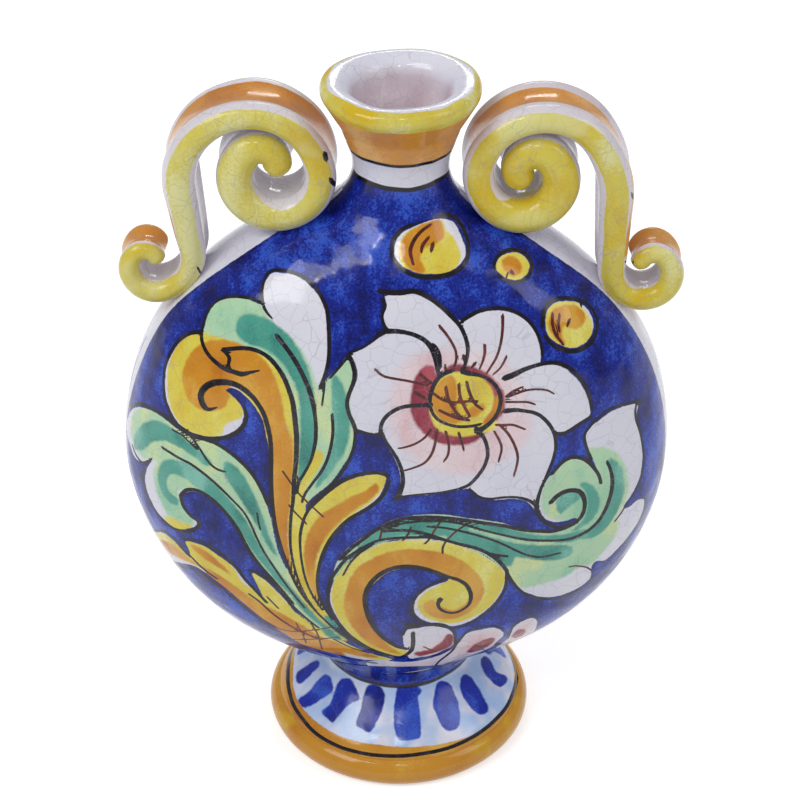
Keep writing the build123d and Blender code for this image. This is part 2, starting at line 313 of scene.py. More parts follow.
def addInnerSkin(mesh, side):
    bm = bmesh.new()
    bmesh.ops.create_grid(bm, x_segments=body["innerCells"], y_segments=body["innerCells"], size=1)
    u, v = discSpots(np.array([v.co for v in bm.verts]))
    p = domeSpots(u, v, body["wall"], side)
    inBore = (fromAxis(p, neck["shift"]) < neck["bore"] + neck["boreRoom"]) & (p[:, 2] > neck["cutAbove"])
    for vert, place in zip(bm.verts, p):
        vert.co = place * mm
    deletePoints(bm, inBore)
    if side < 0:
        bmesh.ops.reverse_faces(bm, faces=bm.faces[:])
    skin = bpy.data.meshes.new("innerSkin")
    bm.to_mesh(skin)
    bm.free()
    bm = bmesh.new()
    bm.from_mesh(mesh)
    bm.from_mesh(skin)
    bm.to_mesh(mesh)
    bm.free()
    bpy.data.meshes.remove(skin)


# section of radius and height spun once about the upright axis
def spinSection(name, section, shift, steps, closed=False):
    bm = bmesh.new()
    verts = [bm.verts.new(((shift + r) * mm, 0, z * mm)) for r, z in section]
    following = verts[1:] + verts[:1] if closed else verts[1:]
    edges = [bm.edges.new(pair) for pair in zip(verts, following)]
    bmesh.ops.spin(bm, geom=verts + edges, cent=(shift * mm, 0, 0), axis=(0, 0, 1), dvec=(0, 0, 0),
                   angle=2 * math.pi, steps=steps, use_merge=True)
    bmesh.ops.recalc_face_normals(bm, faces=bm.faces[:])
    return newPiece(name, bm)


# neck with its lower end, which runs down into the shoulders under the body's skin
def makeNeck():
    section = smoothLine(neck["section"][:neck["tubeMarks"]], neck["tubeGap"])
    tube = spinSection("neck", section, neck["shift"], neck["steps"])
    p = readPoints(tube.data) / mm
    low = p[:, 2] < neck["sunkBelow"]
    p[low] = settle(p[low], underSkin)
    placePoints(tube.data, p)
    return tube


# unevenness round a thrown piece
def turnWave(p, shift, amount, seed):
    angle = np.arctan2(p[:, 1], p[:, 0] - shift)
    draws = np.random.RandomState(seed)
    return amount * sum(np.sin(k * angle + draws.uniform(0, waves["anyPhase"])) / k for k in (2, 3, 5, 7))


def widen(p, shift, wide):
    p[:, 0] = shift + (p[:, 0] - shift) * wide
    p[:, 1] *= wide


# the lip's rise and width change above the height "from", more the higher it is
roundLip = {"from": 190, "over": 8, "rise": 0.35, "drop": 0.5, "riseSeed": 5, "width": 0.012, "widthSeed": 8}


# rolled lip with the mouth and the bore, a little uneven as thrown ware is
def makeMouth():
    section = smoothLine(neck["section"][neck["lipMark"]:], neck["lipGap"])
    lip = spinSection("lip", section, neck["shift"], neck["steps"])
    p = readPoints(lip.data) / mm
    high = np.clip((p[:, 2] - roundLip["from"]) / roundLip["over"], 0, 1)
    p[:, 2] += high * (turnWave(p, neck["shift"], roundLip["rise"], roundLip["riseSeed"]) - roundLip["drop"])
    waver = turnWave(p, neck["shift"], roundLip["width"], roundLip["widthSeed"])
    widen(p, neck["shift"], 1 + high * (waver - roundLip["width"]))
    placePoints(lip.data, p)
    return lip


def makeFootCone():
    section = smoothLine(foot["outside"] + foot["inside"], foot["gap"])
    cone = spinSection("footCone", section, foot["shift"], foot["steps"])
    p = readPoints(cone.data) / mm
    outer = (fromAxis(p, foot["shift"]) > foot["waist"] - foot["sunkRoom"]) & (p[:, 2] > foot["sunkAbove"])
    p[outer] = settle(p[outer], underSkin)
    placePoints(cone.data, p)
    return cone


# the round bead that the foot stands on, with a narrow flat under it
ring = {"track": 32.8, "bead": 4.7, "flat": 0.5, "steps": 44, "width": 0.004, "tuck": 0.006, "widthSeed": 11,
        "rise": 0.3, "riseOver": 8, "riseSeed": 12}


def makeFootRing():
    lift = ring["bead"] - ring["flat"]
    start = math.asin(lift / ring["bead"])
    turns = np.linspace(-start, math.pi + start, ring["steps"])
    section = [(ring["track"] + ring["bead"] * math.cos(t), max(lift + ring["bead"] * math.sin(t), 0))
               for t in turns]
    bead = spinSection("footRing", section, foot["shift"], foot["steps"], closed=True)
    p = readPoints(bead.data) / mm
    widen(p, foot["shift"], 1 + turnWave(p, foot["shift"], ring["width"], ring["widthSeed"]) - ring["tuck"])
    high = np.clip(p[:, 2] / ring["riseOver"], 0, 1)
    p[:, 2] += high * turnWave(p, foot["shift"], ring["rise"], ring["riseSeed"])
    placePoints(bead.data, p)
    return bead


# the straps: radii and turns of their bends, and where along them the colours change
leftHandle = {"side": -1, "strap": 7.8, "curlStrap": 5.6, "leg": 17.5, "lean": 7.0, "neckGap": 3.75,
              "scrollRadii": (18.5, 16.8, 11.1, 10.0, 4.6), "scrollTurns": (88.5, 96.5, 104.5, 121.5, 132.5),
              "curlRadii": (11.7, 6.6, 3.3), "curlTurns": (77.0, 152.0, 108.5),
              "eyeAfter": 72, "eyeInner": -5.5, "orangeAfter": 56, "orangeRise": 34, "orangeLow": 8.6,
              "orangeHalf": 5.0}
rightHandle = {"side": 1, "strap": 8.2, "curlStrap": 6.2, "leg": 19.8, "lean": 0.0, "neckGap": 2.9,
               "scrollRadii": (28.0, 16.3, 12.9, 9.6, 4.8), "scrollTurns": (34.0, 121.5, 77.5, 170.0, 160.0),
               "curlRadii": (9.8, 7.1, 3.6), "curlTurns": (61.0, 168.5, 105.5),
               "eyeAfter": 64, "eyeInner": -12.0, "orangeAfter": 52, "orangeRise": 48, "orangeLow": 6.8,
               "orangeHalf": 3.8}

# both straps: how width and thickness change, as pairs of share of the length and factor
strap = {"width": 19.6, "curlWidth": 14.0, "press": 1.5, "lift": 0.4, "channel": 0.8, "gap": 0.6,
         "bendSteps": 6, "thinEdge": 0.05, "cap": 5, "columns": 97, "weld": 0.002,
         "uneven": 0.004, "waveLength": 24, "seed": 21, "curlEnd": 8, "legFull": 4, "swell": (0, 0, 0.55, 1),
         "thickness": ((0, 0.86), (0.08, 1.0), (0.3, 1.06), (0.38, 1.08), (0.5, 0.9), (0.6, 0.9),
                       (0.75, 1.04), (0.85, 1.14), (0.95, 1.2), (1, 0.95)),
         "widening": ((0, 0.9), (0.1, 1), (0.9, 1), (1, 0.86))}


def heading(degrees):
    return np.array([math.cos(math.radians(degrees)), math.sin(math.radians(degrees))])


def toLeft(degrees):
    return np.array([-math.sin(math.radians(degrees)), math.cos(math.radians(degrees))])


# points and headings along bends that all turn to the right
def bendLine(point, way, radii, turns):
    places, ways = [], []
    for radius, turn in zip(radii, turns):
        centre = point - radius * toLeft(way)
        count = max(strap["bendSteps"], int(radius * math.radians(turn) / strap["gap"]))
        for k in range(1, count + 1):
            ways.append(way - turn * k / count)
            places.append(centre + radius * toLeft(ways[-1]))
        point, way = places[-1], ways[-1]
    return places, ways


# middle line of the strap from the small curl's tip to the scroll's eye, as a left handle
def handleRoute(h):
    rise = 90 + h["lean"]
    start = np.zeros(2)
    legCount = int(h["leg"] / strap["gap"])
    leg = [start + heading(rise) * h["leg"] * k / legCount for k in range(legCount + 1)]
    scroll, scrollWays = bendLine(leg[-1], rise, h["scrollRadii"], h["scrollTurns"])
    curl, curlWays = bendLine(start, rise - 180, h["curlRadii"], h["curlTurns"])
    places = np.array(curl[::-1] + leg + scroll)
    ways = np.array([w + 180 for w in curlWays[::-1]] + [rise] * len(leg) + scrollWays)
    # the bend that rests on the shoulder fixes the strap's place
    restFrom, restWays = bendLine(leg[-1], rise, h["scrollRadii"][:2], h["scrollTurns"][:2])
    restRadius = h["scrollRadii"][2]
    seat = restFrom[-1] - restRadius * toLeft(restWays[-1])
    reach = restRadius + h["strap"] / 2
    seatSide = neck["waist"] + h["side"] * neck["shift"] + h["neckGap"] + reach
    seatRadius = body["radius"] + strap["lift"] + reach - strap["press"]
    goal = np.array([-seatSide, body["centreZ"] + math.sqrt(seatRadius**2 - seatSide**2)])
    places = places + goal - seat
    along = runAlong(places)
    legStart = along[len(curl)]
    return places, ways, along, legStart, legStart + h["leg"]


# section of the strap: across, out and distance round from the front bead, at shares of its girth
def strapRing(width, thickness, channel, shares):
    edge = thickness / 2
    half = max(width / 2 - edge, strap["thinEdge"])
    quarter = math.pi * edge / 2
    girth = 4 * quarter + 4 * half
    run = (shares - 0.5) * girth
    far = np.abs(run)
    side = np.sign(run)
    onFront = far < quarter
    onWeb = (far >= quarter) & (far < quarter + 2 * half)
    turnFront = far / edge
    turnBack = np.clip((far - quarter - 2 * half) / edge, 0, math.pi / 2)
    web = (far - quarter) / (2 * half)
    across = np.where(onFront, -half - edge * np.cos(turnFront),
                      np.where(onWeb, -half + web * 2 * half, half + edge * np.sin(turnBack)))
    hollow = channel * np.sin(np.clip(web, 0, 1) * math.pi)
    out = np.where(onFront, edge * np.sin(turnFront), np.where(onWeb, edge - hollow, edge * np.cos(turnBack)))
    return across, out * side, run


# strap rolled at both ends, swept round its route with a section that swells and thins
def makeHandle(name, h):
    places, ways, along, h["legStart"], h["legEnd"] = handleRoute(h)
    # rows added to round both ends
    cap = strap["cap"]
    total = along[-1]
    rows = len(places) + 2 * cap
    bm = bmesh.new()
    bmesh.ops.create_grid(bm, x_segments=rows - 1, y_segments=strap["columns"] - 1, size=0.5)
    spots = np.array([v.co for v in bm.verts])
    rowOf = np.rint((spots[:, 0] + 0.5) * (rows - 1)).astype(int)
    share = spots[:, 1] + 0.5
    p = np.zeros((len(spots), 3))
    acrossStore = np.zeros(len(spots))
    alongStore = np.zeros(len(spots))
    swellAt = (0, h["legStart"] - strap["curlEnd"], h["legStart"] + strap["legFull"], h["legEnd"])
    for row in range(rows):
        k = min(max(row - cap, 0), len(places) - 1)
        here = along[k]
        swell = np.interp(here, swellAt, strap["swell"])
        width = strap["curlWidth"] + (strap["width"] - strap["curlWidth"]) * swell
        thick = h["curlStrap"] + (h["strap"] - h["curlStrap"]) * swell
        thick *= np.interp(here / total, *zip(*strap["thickness"]))
        width *= np.interp(here / total, *zip(*strap["widening"]))
        shrink, extra = 1.0, 0.0
        if row < cap or row >= rows - cap:
            out = (cap - row if row < cap else row - (rows - cap) + 1) / cap
            shrink = math.sqrt(max(1 - out**2, 0))
            extra = out * thick / 2 * (-1 if row < cap else 1)
        picked = rowOf == row
        across, outward, run = strapRing(width, thick, strap["channel"], share[picked])
        if shrink < 1:
            across = np.sign(across) * np.clip(np.abs(across) - thick / 2 * (1 - shrink), 0, None)
        outward = outward * shrink
        normal = toLeft(ways[k])
        middle = places[k] + heading(ways[k]) * extra
        p[picked, 0] = middle[0] + normal[0] * outward
        p[picked, 2] = middle[1] + normal[1] * outward
        p[picked, 1] = across
        acrossStore[picked] = run
        alongStore[picked] = here + extra
    p[:, 0] *= -h["side"]
    middle = (p.max(0) + p.min(0)) / 2
    wave = strap["uneven"] * handWave(p, strap["waveLength"], strap["seed"] + h["side"])
    p = p + (middle - p) * (strap["uneven"] + wave)[:, None]
    for vert, place in zip(bm.verts, p):
        vert.co = place * mm
    acrossLayer = bm.verts.layers.float.new("across")
    alongLayer = bm.verts.layers.float.new("along")
    for vert, a, b in zip(bm.verts, acrossStore, alongStore):
        vert[acrossLayer] = a
        vert[alongLayer] = b
    bmesh.ops.remove_doubles(bm, verts=bm.verts[:], dist=strap["weld"] * mm)
    bmesh.ops.recalc_face_normals(bm, faces=bm.faces[:])
    return newPiece(name, bm)


print("shaping the pot")
frontBody = makeHalf("frontBody", -1, body["cells"])
backBody = makeHalf("backBody", 1, body["backCells"])
neckTube = makeNeck()
lip = makeMouth()
footCone = makeFootCone()
footRing = makeFootRing()
leftStrap = makeHandle("leftHandle", leftHandle)
rightStrap = makeHandle("rightHandle", rightHandle)
for piece in (frontBody, backBody, neckTube, lip, footCone, footRing, leftStrap, rightStrap):
    print(piece.name, len(piece.data.vertices), "points")


# motifs of the painted front: each point is a pixel of the photograph that was read off, the coloured
# areas are outlines, and in a black or brown stroke a number sets the width of what follows, in pixels
# the daisy-like flower
flower = {
    "reserve": [((384, 294), (384, 294), (392, 294.5), (400, 294.5), (408, 293.5), (413, 292), (422, 295),
         (432, 300), (442, 307), (450, 314), (457, 320), (465, 320), (472, 316), (480, 313), (490, 311),
         (500, 310.5), (510, 312), (520, 316), (528, 322), (534, 330), (538, 338), (541, 350), (541, 362),
         (541, 364.5), (548, 364.5), (556, 365), (564, 368), (572, 374), (579, 381), (585, 391), (589, 401),
         (591, 410), (590, 416), (584, 421), (576, 425), (568, 431), (560, 434), (554, 434), (555, 444),
         (553, 456), (549, 468), (544, 479), (540, 490), (537, 501), (536, 512), (536, 512), (532, 506),
         (526, 501), (517, 499), (506, 499), (496, 500), (486, 499), (478, 495), (471, 489.5), (462, 489.5),
         (454, 491), (442, 493), (428, 495), (414, 496), (404, 497), (394, 499), (394, 499), (399, 492),
         (401, 483), (400, 474), (397, 464), (392, 454), (387, 446), (384, 439), (381, 432), (375, 434),
         (368, 433), (361, 430), (355, 428), (352, 419), (348, 408), (348, 399), (350, 389), (354, 379),
         (354, 370), (351, 361), (348, 356), (348, 356), (356, 352), (364, 349), (371, 344), (379, 338),
         (388, 333), (385, 325), (383, 318), (384, 311), (386, 304))],
    "pink": [((388, 385), (392, 370), (402, 357), (420, 348), (440, 345), (462, 343), (485, 346), (505, 355),
         (520, 370), (530, 390), (537, 410), (535, 435), (525, 452), (508, 462), (495, 470), (480, 478),
         (455, 480), (430, 474), (410, 462), (396, 448), (386, 430), (383, 408))],
    "wine": [((447, 367), (456, 364), (467, 366), (478, 369), (489, 375), (498, 384), (504, 394), (506, 404),
         (504, 413), (498, 421), (490, 428), (485, 436), (475, 443), (462, 446), (450, 446), (438, 443),
         (428, 437), (419, 429), (413, 419), (410, 406), (411, 392), (414, 380), (420, 370), (428, 365),
         (435, 367), (436, 375), (441, 374))],
    "yellow": [((431, 400), (434, 388), (441, 379), (452, 374), (466, 374), (480, 379), (489, 388),
         (493, 400), (491, 411), (485, 420), (497, 424), (490, 431), (478, 434), (462, 436), (446, 433),
         (437, 426), (432, 414))],
    "orange": [((433, 392), (440, 381), (450, 376), (455, 380), (457, 392), (456, 404), (460, 414),
         (464, 420), (455, 424), (444, 422), (437, 415), (432, 404)),
        ((466, 413), (474, 407), (484, 405), (485, 410), (477, 416), (469, 418)),
        ((496, 398), (502, 398), (502, 410), (496, 420), (486, 427), (484, 422), (492, 412))],
    "black": [(4, (452, 371), (444, 374), (437, 380), (432, 390), 3.4, (430, 401), 3.2, (432, 412), 3,
         (438, 420), (448, 425), (460, 427.5), (472, 427), 2.5, (481, 425)),
        (5, (463, 372), 4.5, (470, 374), 3.4, (480, 376), (489, 380), 3.6, (497, 388), 4, (501, 398),
         (500, 409), (495, 419), 4.5, (487, 427), 6, (478, 432)),
        (5, (477, 431), 3.8, (483, 437), 3.6, (487, 446), (488, 456), (485, 466), (480, 474), (474, 481), 3.4,
         (468, 486), 3, (460, 489)),
        (3, (378, 334), 4.5, (386, 332), (396, 331.5), 4, (406, 333), (416, 336), 4.4, (425, 341), 5,
         (432, 349), (436, 360), 4, (438, 372)),
        (2.5, (428, 343), 2.6, (435, 346), 2.4, (440, 355), 2, (441, 368)),
        (5, (380, 291), (390, 292.5), (402, 292.5), (414, 291), 4.4, (424, 295), 4.2, (434, 301), (444, 309),
         4, (452, 317), 3.8, (460, 326), (465, 336), (468, 348), 3.4, (467, 358), (464, 369)),
        (3, (383, 300), 3.6, (385, 306), 3, (382, 316), (384, 325), (388, 331)),
        (3.6, (462, 321), 4, (470, 316), 3.6, (480, 311), (492, 308.5), (504, 308.5), (516, 312), 3.4,
         (527, 319), 3.2, (536, 330), 3, (541, 342), 2.6, (543, 356)),
        (6, (506, 379), 5.6, (514, 376), 4.6, (524, 371), 4, (534, 367), (546, 363.5), (557, 363),
         (567, 366.5), (577, 374), (585, 385), 3.6, (590, 397), 3, (592, 410)),
        (4, (591, 418), 3.6, (582, 423), (573, 429), 4, (564, 434), (556, 434)),
        (5, (506, 412), 4.2, (516, 411), 3.6, (526, 412), (536, 414), (544, 419), (551, 427), 3.4, (555, 436),
         3.2, (556, 448), 3, (553, 460), (549, 470), 2.6, (543, 484), (539, 496), 2.4, (537, 510)),
        (3, (538, 508), 3.4, (530, 501), 2.6, (518, 497.5), (504, 497.5), (490, 499), (479, 497), 3,
         (470, 490)),
        (2.4, (456, 490), 2, (440, 493), (420, 495), 2.4, (404, 497), 5, (396, 500), (400, 493), 4,
         (403, 483), 3.6, (402, 472), 3.4, (398, 461), 3.2, (392, 451), 3, (386, 442), (382, 433)),
        (4, (430, 405), (420, 405.5), 3.8, (410, 406), (400, 408), (392, 412), (385, 418), (381, 426), 3,
         (380, 437)),
        (4, (349, 356), 4.6, (353, 365), (355, 375), 4, (353, 384), 3.8, (349, 394), (347, 404), (349, 414),
         4, (353, 423), (356, 431)), (2.6, (350, 353), 2.2, (360, 349), (370, 343), 3, (380, 335)),
        (3, (356, 430), 2.4, (366, 433), (376, 435))],
    "brown": [(3, (440, 327), 2.6, (446, 334), 2.4, (452, 343), (456, 352), (456, 362), (453, 369)),
        (3, (485, 346), 2.8, (485, 354), 2.4, (483, 362), 2, (480, 369)),
        (3.2, (503, 316), 2.8, (503, 330), 2.6, (501, 345), 2.4, (497, 358), 2.2, (491, 368), 2, (487, 374)),
        (2.6, (507, 358), 2.2, (504, 364), 2, (500, 370), (494, 375)), (3.4, (475, 364), 2.4, (472, 368)),
        (4, (464, 357), 3, (466, 364)), (2.4, (445, 366), (446, 372)),
        (2.8, (376, 370), 2.4, (380, 374), (386, 377), (396, 379), (408, 381), (426, 385)),
        (3, (421, 375), (431, 383)), (3, (416, 393), (426, 399)),
        (2.4, (507, 397), 2.2, (514, 392), 1.8, (523, 388)),
        (2.6, (508, 398), 2.4, (516, 395), 2.2, (528, 391), 2, (540, 390), (548, 391), 1.6, (554, 394)),
        (2.4, (507, 403), 2.2, (518, 403), (528, 403), 2, (535, 405)),
        (2.6, (497, 426), 2.4, (506, 426), (514, 426), 2, (525, 430)),
        (2.4, (500, 426), 2.6, (508, 434), (514, 444), (518, 456), 2.4, (517, 466), 2, (514, 476)),
        (2.4, (495, 433), (500, 442), (502, 450), 2, (499, 462)),
        (1.8, (399, 449), 2.2, (408, 447), (418, 443), 2.4, (426, 437), (431, 430)),
        (1.8, (401, 472), 2.2, (412, 469), 2.4, (424, 464), 2.6, (431, 456), (435, 445), 3, (437, 431)),
        (2, (444, 462), 2.4, (448, 456), (449, 446), 3, (446, 433)),
        (2, (464, 451), 2.4, (462, 443), 2.6, (459, 434)), (2.6, (434, 394), 2.4, (441, 399)),
        (3.4, (446, 388), 3, (448, 398), (453, 408), (460, 417), 2.4, (469, 421)),
        (3, (459, 385), (460, 396), (464, 406), 2.6, (470, 417)),
        (3, (467, 383), (470, 394), (475, 404), 2.4, (482, 410)),
        (2.4, (437, 397), 2.6, (445, 401), (455, 403), (466, 402), 2.4, (477, 402)),
        (2.8, (440, 411), 3, (448, 415), (458, 419), 2.4, (468, 421))]}

# three round dots above it
dots = {
    "reserve": [((394, 252), (396, 242), (402, 234), (410, 229), (420, 224), (430, 221.5), (442, 222.5),
         (452, 226), (458, 233), (463, 242), (466, 252), (462, 262), (454, 269), (444, 273), (432, 274),
         (418, 273), (406, 268), (398, 262)),
        ((497, 262), (501, 256), (508, 253), (515, 252), (523, 255), (529, 262), (529, 270), (524, 277),
         (516, 280), (507, 278), (500, 273), (496, 268)),
        ((546, 325), (547, 313), (552, 305), (560, 301.5), (570, 301), (580, 303), (588, 309), (593, 318),
         (594, 328), (590, 338), (582, 345), (572, 348), (561, 345), (553, 340), (548, 334))],
    "yellow": [((401, 246), (405, 237), (413, 230), (425, 225), (437, 225), (443, 233), (450, 238),
         (457, 248), (459, 258), (455, 266), (446, 272), (434, 274), (418, 273), (408, 269), (402, 262),
         (400, 254)),
        ((497, 264), (502, 257), (509, 254), (517, 253), (525, 258), (529, 264), (527, 272), (519, 278),
         (509, 277), (501, 273), (496, 268)),
        ((547, 325), (548, 314), (553, 306), (561, 303), (571, 302), (579, 305), (585, 312), (591, 321),
         (592, 331), (588, 339), (581, 344), (572, 347), (561, 344), (553, 339), (549, 334))],
    "orange": [((401, 248), (404, 238), (412, 230), (424, 224), (434, 223), (440, 230), (442, 238),
         (436, 243), (428, 246), (421, 252), (420, 260), (424, 267), (425, 272), (416, 272), (408, 266),
         (402, 258)),
        ((503, 260), (510, 256), (518, 259), (522, 266), (520, 273), (514, 276), (507, 272), (503, 267)),
        ((549, 322), (553, 311), (562, 306), (574, 305), (582, 309), (586, 317), (583, 325), (576, 329),
         (569, 327), (564, 325), (562, 332), (563, 339), (566, 345), (560, 343), (554, 336), (550, 329))],
    "black": [(4, (392, 256), 4.6, (393, 244), 4, (400, 232), (412, 224), (426, 219), (440, 219), (454, 222),
         (463, 231), (468, 243), (468, 256), (462, 267), 4.6, (450, 274), (434, 277), 4, (416, 276),
         (402, 269), (393, 259)),
        (3, (494, 268), (496, 259), 4.4, (503, 252), 3.6, (512, 249), (523, 251), (531, 259), (532, 269), 3,
         (527, 278), (517, 282), (506, 281), (498, 275)),
        (4, (543, 326), (544, 312), (550, 302), 3.6, (560, 298), (572, 298), (584, 301), (593, 309),
         (598, 320), 4, (597, 332), 4.6, (591, 343), (580, 350), 3.6, (567, 351), (554, 346), (546, 337)),
        (3, (581, 302), 2, (582, 306))],
    "brown": [(3.6, (426, 227), (419, 233), (413, 242), (410, 252), 2.6, (413, 264)),
        (3, (427, 239), 3.4, (422, 246), 2.6, (421, 252)), (4, (432, 245), 3.4, (431, 251)),
        (3.2, (553, 314), (553, 324), (556, 334), 2.6, (563, 344)),
        (3, (560, 315), (559, 324), 2.6, (560, 331)), (3.4, (570, 320), 3, (568, 325)),
        (3, (512, 271), (513, 273)), (2, (508, 273), (506, 279))]}

# orange stem that rolls up at the left
leftVolute = {
    "reserve": [((200, 334), (200, 334), (190, 335), (182, 340), (175, 348), (170, 357), (166, 368),
         (164.5, 382), (165.5, 396), (169, 408), (174, 418), (181, 427), (190, 433), (200, 436), (212, 437),
         (224, 436), (233, 432), (240, 426), (243, 418), (242, 410), (237, 402), (230, 396), (224, 390),
         (224, 390), (232, 389), (240, 393), (249, 401), (256, 410), (262, 420), (265, 432), (268, 446),
         (270, 460), (271, 475), (271, 490), (272, 505), (274, 520), (277, 535), (281, 550), (286, 565),
         (292, 580), (300, 590), (296, 570), (293, 550), (293, 520), (295, 490), (297, 460), (297, 440),
         (295, 420), (291, 400), (283, 380), (270, 362), (250, 350), (225, 340))],
    "yellow": [((291, 480), (297, 480), (300, 500), (299, 530), (301, 560), (308, 585), (320, 608),
         (310, 602), (298, 582), (291, 560), (289, 530), (290, 500)),
        ((200, 334), (190, 336), (182, 341), (176, 349), (171, 359), (168, 372), (168, 386), (169, 398),
         (172, 409), (178, 420), (186, 428), (196, 433), (208, 436), (220, 434), (222, 426), (229, 421),
         (240, 417), (241, 410), (236, 402), (229, 396), (222, 388), (232, 386), (246, 396), (258, 412),
         (264, 428), (268, 450), (271, 480), (296, 480), (297, 450), (296, 425), (292, 404), (285, 384),
         (272, 366), (254, 352), (236, 346), (215, 338))],
    "orange": [((182, 380), (184, 366), (190, 354), (198, 346), (208, 341), (220, 340), (232, 342),
         (246, 348), (258, 356), (268, 367), (275, 381), (280, 396), (283, 412), (286, 428), (292, 440),
         (293, 460), (291, 480), (290, 500), (288, 520), (287, 540), (289, 556), (291, 574), (285, 562),
         (280, 546), (276, 530), (273, 510), (272, 490), (271, 465), (269, 446), (266, 430), (261, 415),
         (253, 402), (243, 391), (232, 385), (228, 392), (228, 400), (223, 408), (214, 411), (203, 411),
         (193, 405), (186, 396))],
    "black": [(4, (200, 332), (190, 333), (181, 338), (173, 347), (168, 357), 3.6, (164, 369), (163, 383),
         (164, 397), 4, (168, 410), (174, 421), 4.4, (182, 430), 5, (192, 436), (204, 439), 4, (218, 439),
         (231, 436), (241, 429), 3.6, (246, 419), 3, (244, 409)),
        (4, (201, 331), (201, 340), (204, 349), (209, 357), 4.4, (216, 364), (224, 370), 4.6, (233, 373), 5,
         (240, 375), 3.4, (249, 373.5), 1.6, (258, 371.5)),
        (4.5, (222, 350), 4, (232, 349), (242, 348.5), (252, 350), (262, 354.5), 4.4, (270, 361), (277, 369),
         4.6, (283, 378), (288, 389), 4.8, (292, 401), 5, (294, 413), (295.5, 426), (296.5, 440), 4.4,
         (296, 460), 4.2, (294, 480), 3.6, (293, 500), 3.2, (291, 515), 3, (290, 530), 2.8, (290, 545), 2.6,
         (292, 560), 2.4, (296, 575), 2.2, (302, 590), (311, 605), (322, 618), (336, 631), (352, 642)),
        (3.6, (222, 350), 4, (228, 358), 3.4, (227, 365), 4, (229, 372)),
        (1.6, (216, 408), 4, (208, 410), 6, (203, 406), 6.4, (200, 397), (203, 389), (211, 384), 6,
         (221, 383), 5.6, (231, 384.5), 5.4, (241, 389), 5, (250, 396), 4.6, (257, 404), (263, 414),
         (267, 426), 4.4, (270, 440), 4.2, (271, 460), 4, (271, 480), 3.8, (272, 500), (274, 520), 3.6,
         (277, 535), 3.4, (282, 552), 3.2, (288, 568), 3, (295, 584), 2.8, (304, 598), 2.6, (316, 612),
         (331, 626), (347, 638), 2.4, (363, 648), (381, 655), (396, 658))],
    "brown": []}

# green leaf with a white tip, behind the left volute
tipLeaf = {
    "reserve": [((200, 334), (203, 330), (205, 322), (208, 313), (213, 305), (220, 300), (230, 298),
         (242, 298), (252, 301), (259, 304), (262, 303), (263, 295), (263, 286), (266, 279), (270, 274),
         (274, 272), (282, 273), (292, 274), (302, 279), (310, 286), (317, 294), (322, 304), (325, 316),
         (326, 330), (327, 345), (327, 358), (325, 370), (323, 382), (330, 376), (338, 368), (348, 356),
         (352, 366), (352, 380), (347, 400), (350, 416), (354, 426), (354, 440), (351, 454), (344, 464),
         (336, 476), (328, 485), (318, 493), (310, 500), (302, 510), (297, 522), (295, 540), (296, 558),
         (290, 545), (290, 510), (293, 480), (296, 450), (295, 425), (290, 400), (283, 378), (270, 361),
         (252, 350), (232, 346), (215, 340))],
    "paleGreen": [((200, 336), (204, 322), (211, 307), (222, 299), (240, 297), (254, 301), (262, 308),
         (266, 318), (274, 328), (286, 337), (296, 348), (304, 360), (310, 372), (315, 388), (319, 402),
         (321, 388), (328, 378), (338, 368), (347, 358), (352, 368), (351, 384), (347, 400), (350, 416),
         (354, 430), (353, 448), (345, 463), (334, 477), (320, 491), (308, 503), (299, 518), (296, 548),
         (291, 530), (291, 500), (296, 460), (296, 430), (291, 402), (283, 379), (270, 361), (252, 349),
         (232, 346), (215, 340))],
    "teal": [((236, 322), (240, 316), (248, 314), (258, 316), (268, 320), (278, 328), (286, 335), (294, 345),
         (302, 358), (308, 372), (312, 386), (315, 402), (316, 430), (314, 450), (306, 470), (298, 486),
         (299, 460), (301, 430), (300, 410), (298, 395), (293, 382), (287, 371), (280, 362), (272, 355),
         (262, 349), (250, 345), (241, 340), (236, 333)),
        ((333, 376), (342, 384), (347, 400), (350, 418), (348, 440), (342, 456), (332, 470), (316, 488),
         (322, 470), (331, 452), (334, 430), (332, 404))],
    "yellow": [((297, 486), (306, 470), (316, 452), (322, 458), (312, 476), (302, 494), (298, 512),
         (295, 500))],
    "black": [(4.5, (276, 337), (281, 344), (288, 353), (295, 363), (301, 373), (306, 383), (310, 393),
         (313, 404), 3.6, (315, 416), (316, 430), (315, 444), 2.8, (311, 460), (305, 472), (299, 482),
         (297, 492)), (3, (262, 303), (264, 309), 2.4, (268, 315), 1.6, (271, 318)),
        (3.5, (262, 302), (261, 292), (264, 279), (270, 271), (283, 270), (300, 275), (312, 284), (320, 295),
         (326, 309), (328, 325), (329, 345), (328, 362), (325, 375), (322, 383), (320, 388)),
        (3, (201, 333), (203, 322), (207, 311), (213, 303), (221, 298), (232, 296), (244, 297), (254, 299),
         (261, 303)), (2, (325, 378), (324, 390), (322, 405)),
        (3, (332, 415), (333, 430), (331, 446), (327, 460), (321, 472), 2.6, (312, 484), (305, 494),
         (302, 502)),
        (3, (355, 428), (355, 438), (353, 450), (348, 462), (342, 472), (334, 482), (326, 490), (318, 497),
         (310, 505)), (2.4, (330, 378), (338, 369), (348, 357))],
    "brown": [(2, (283, 472), (290, 482), (298, 493), (308, 503), (323, 517)),
        (2, (289, 506), (296, 514), (306, 524))]}

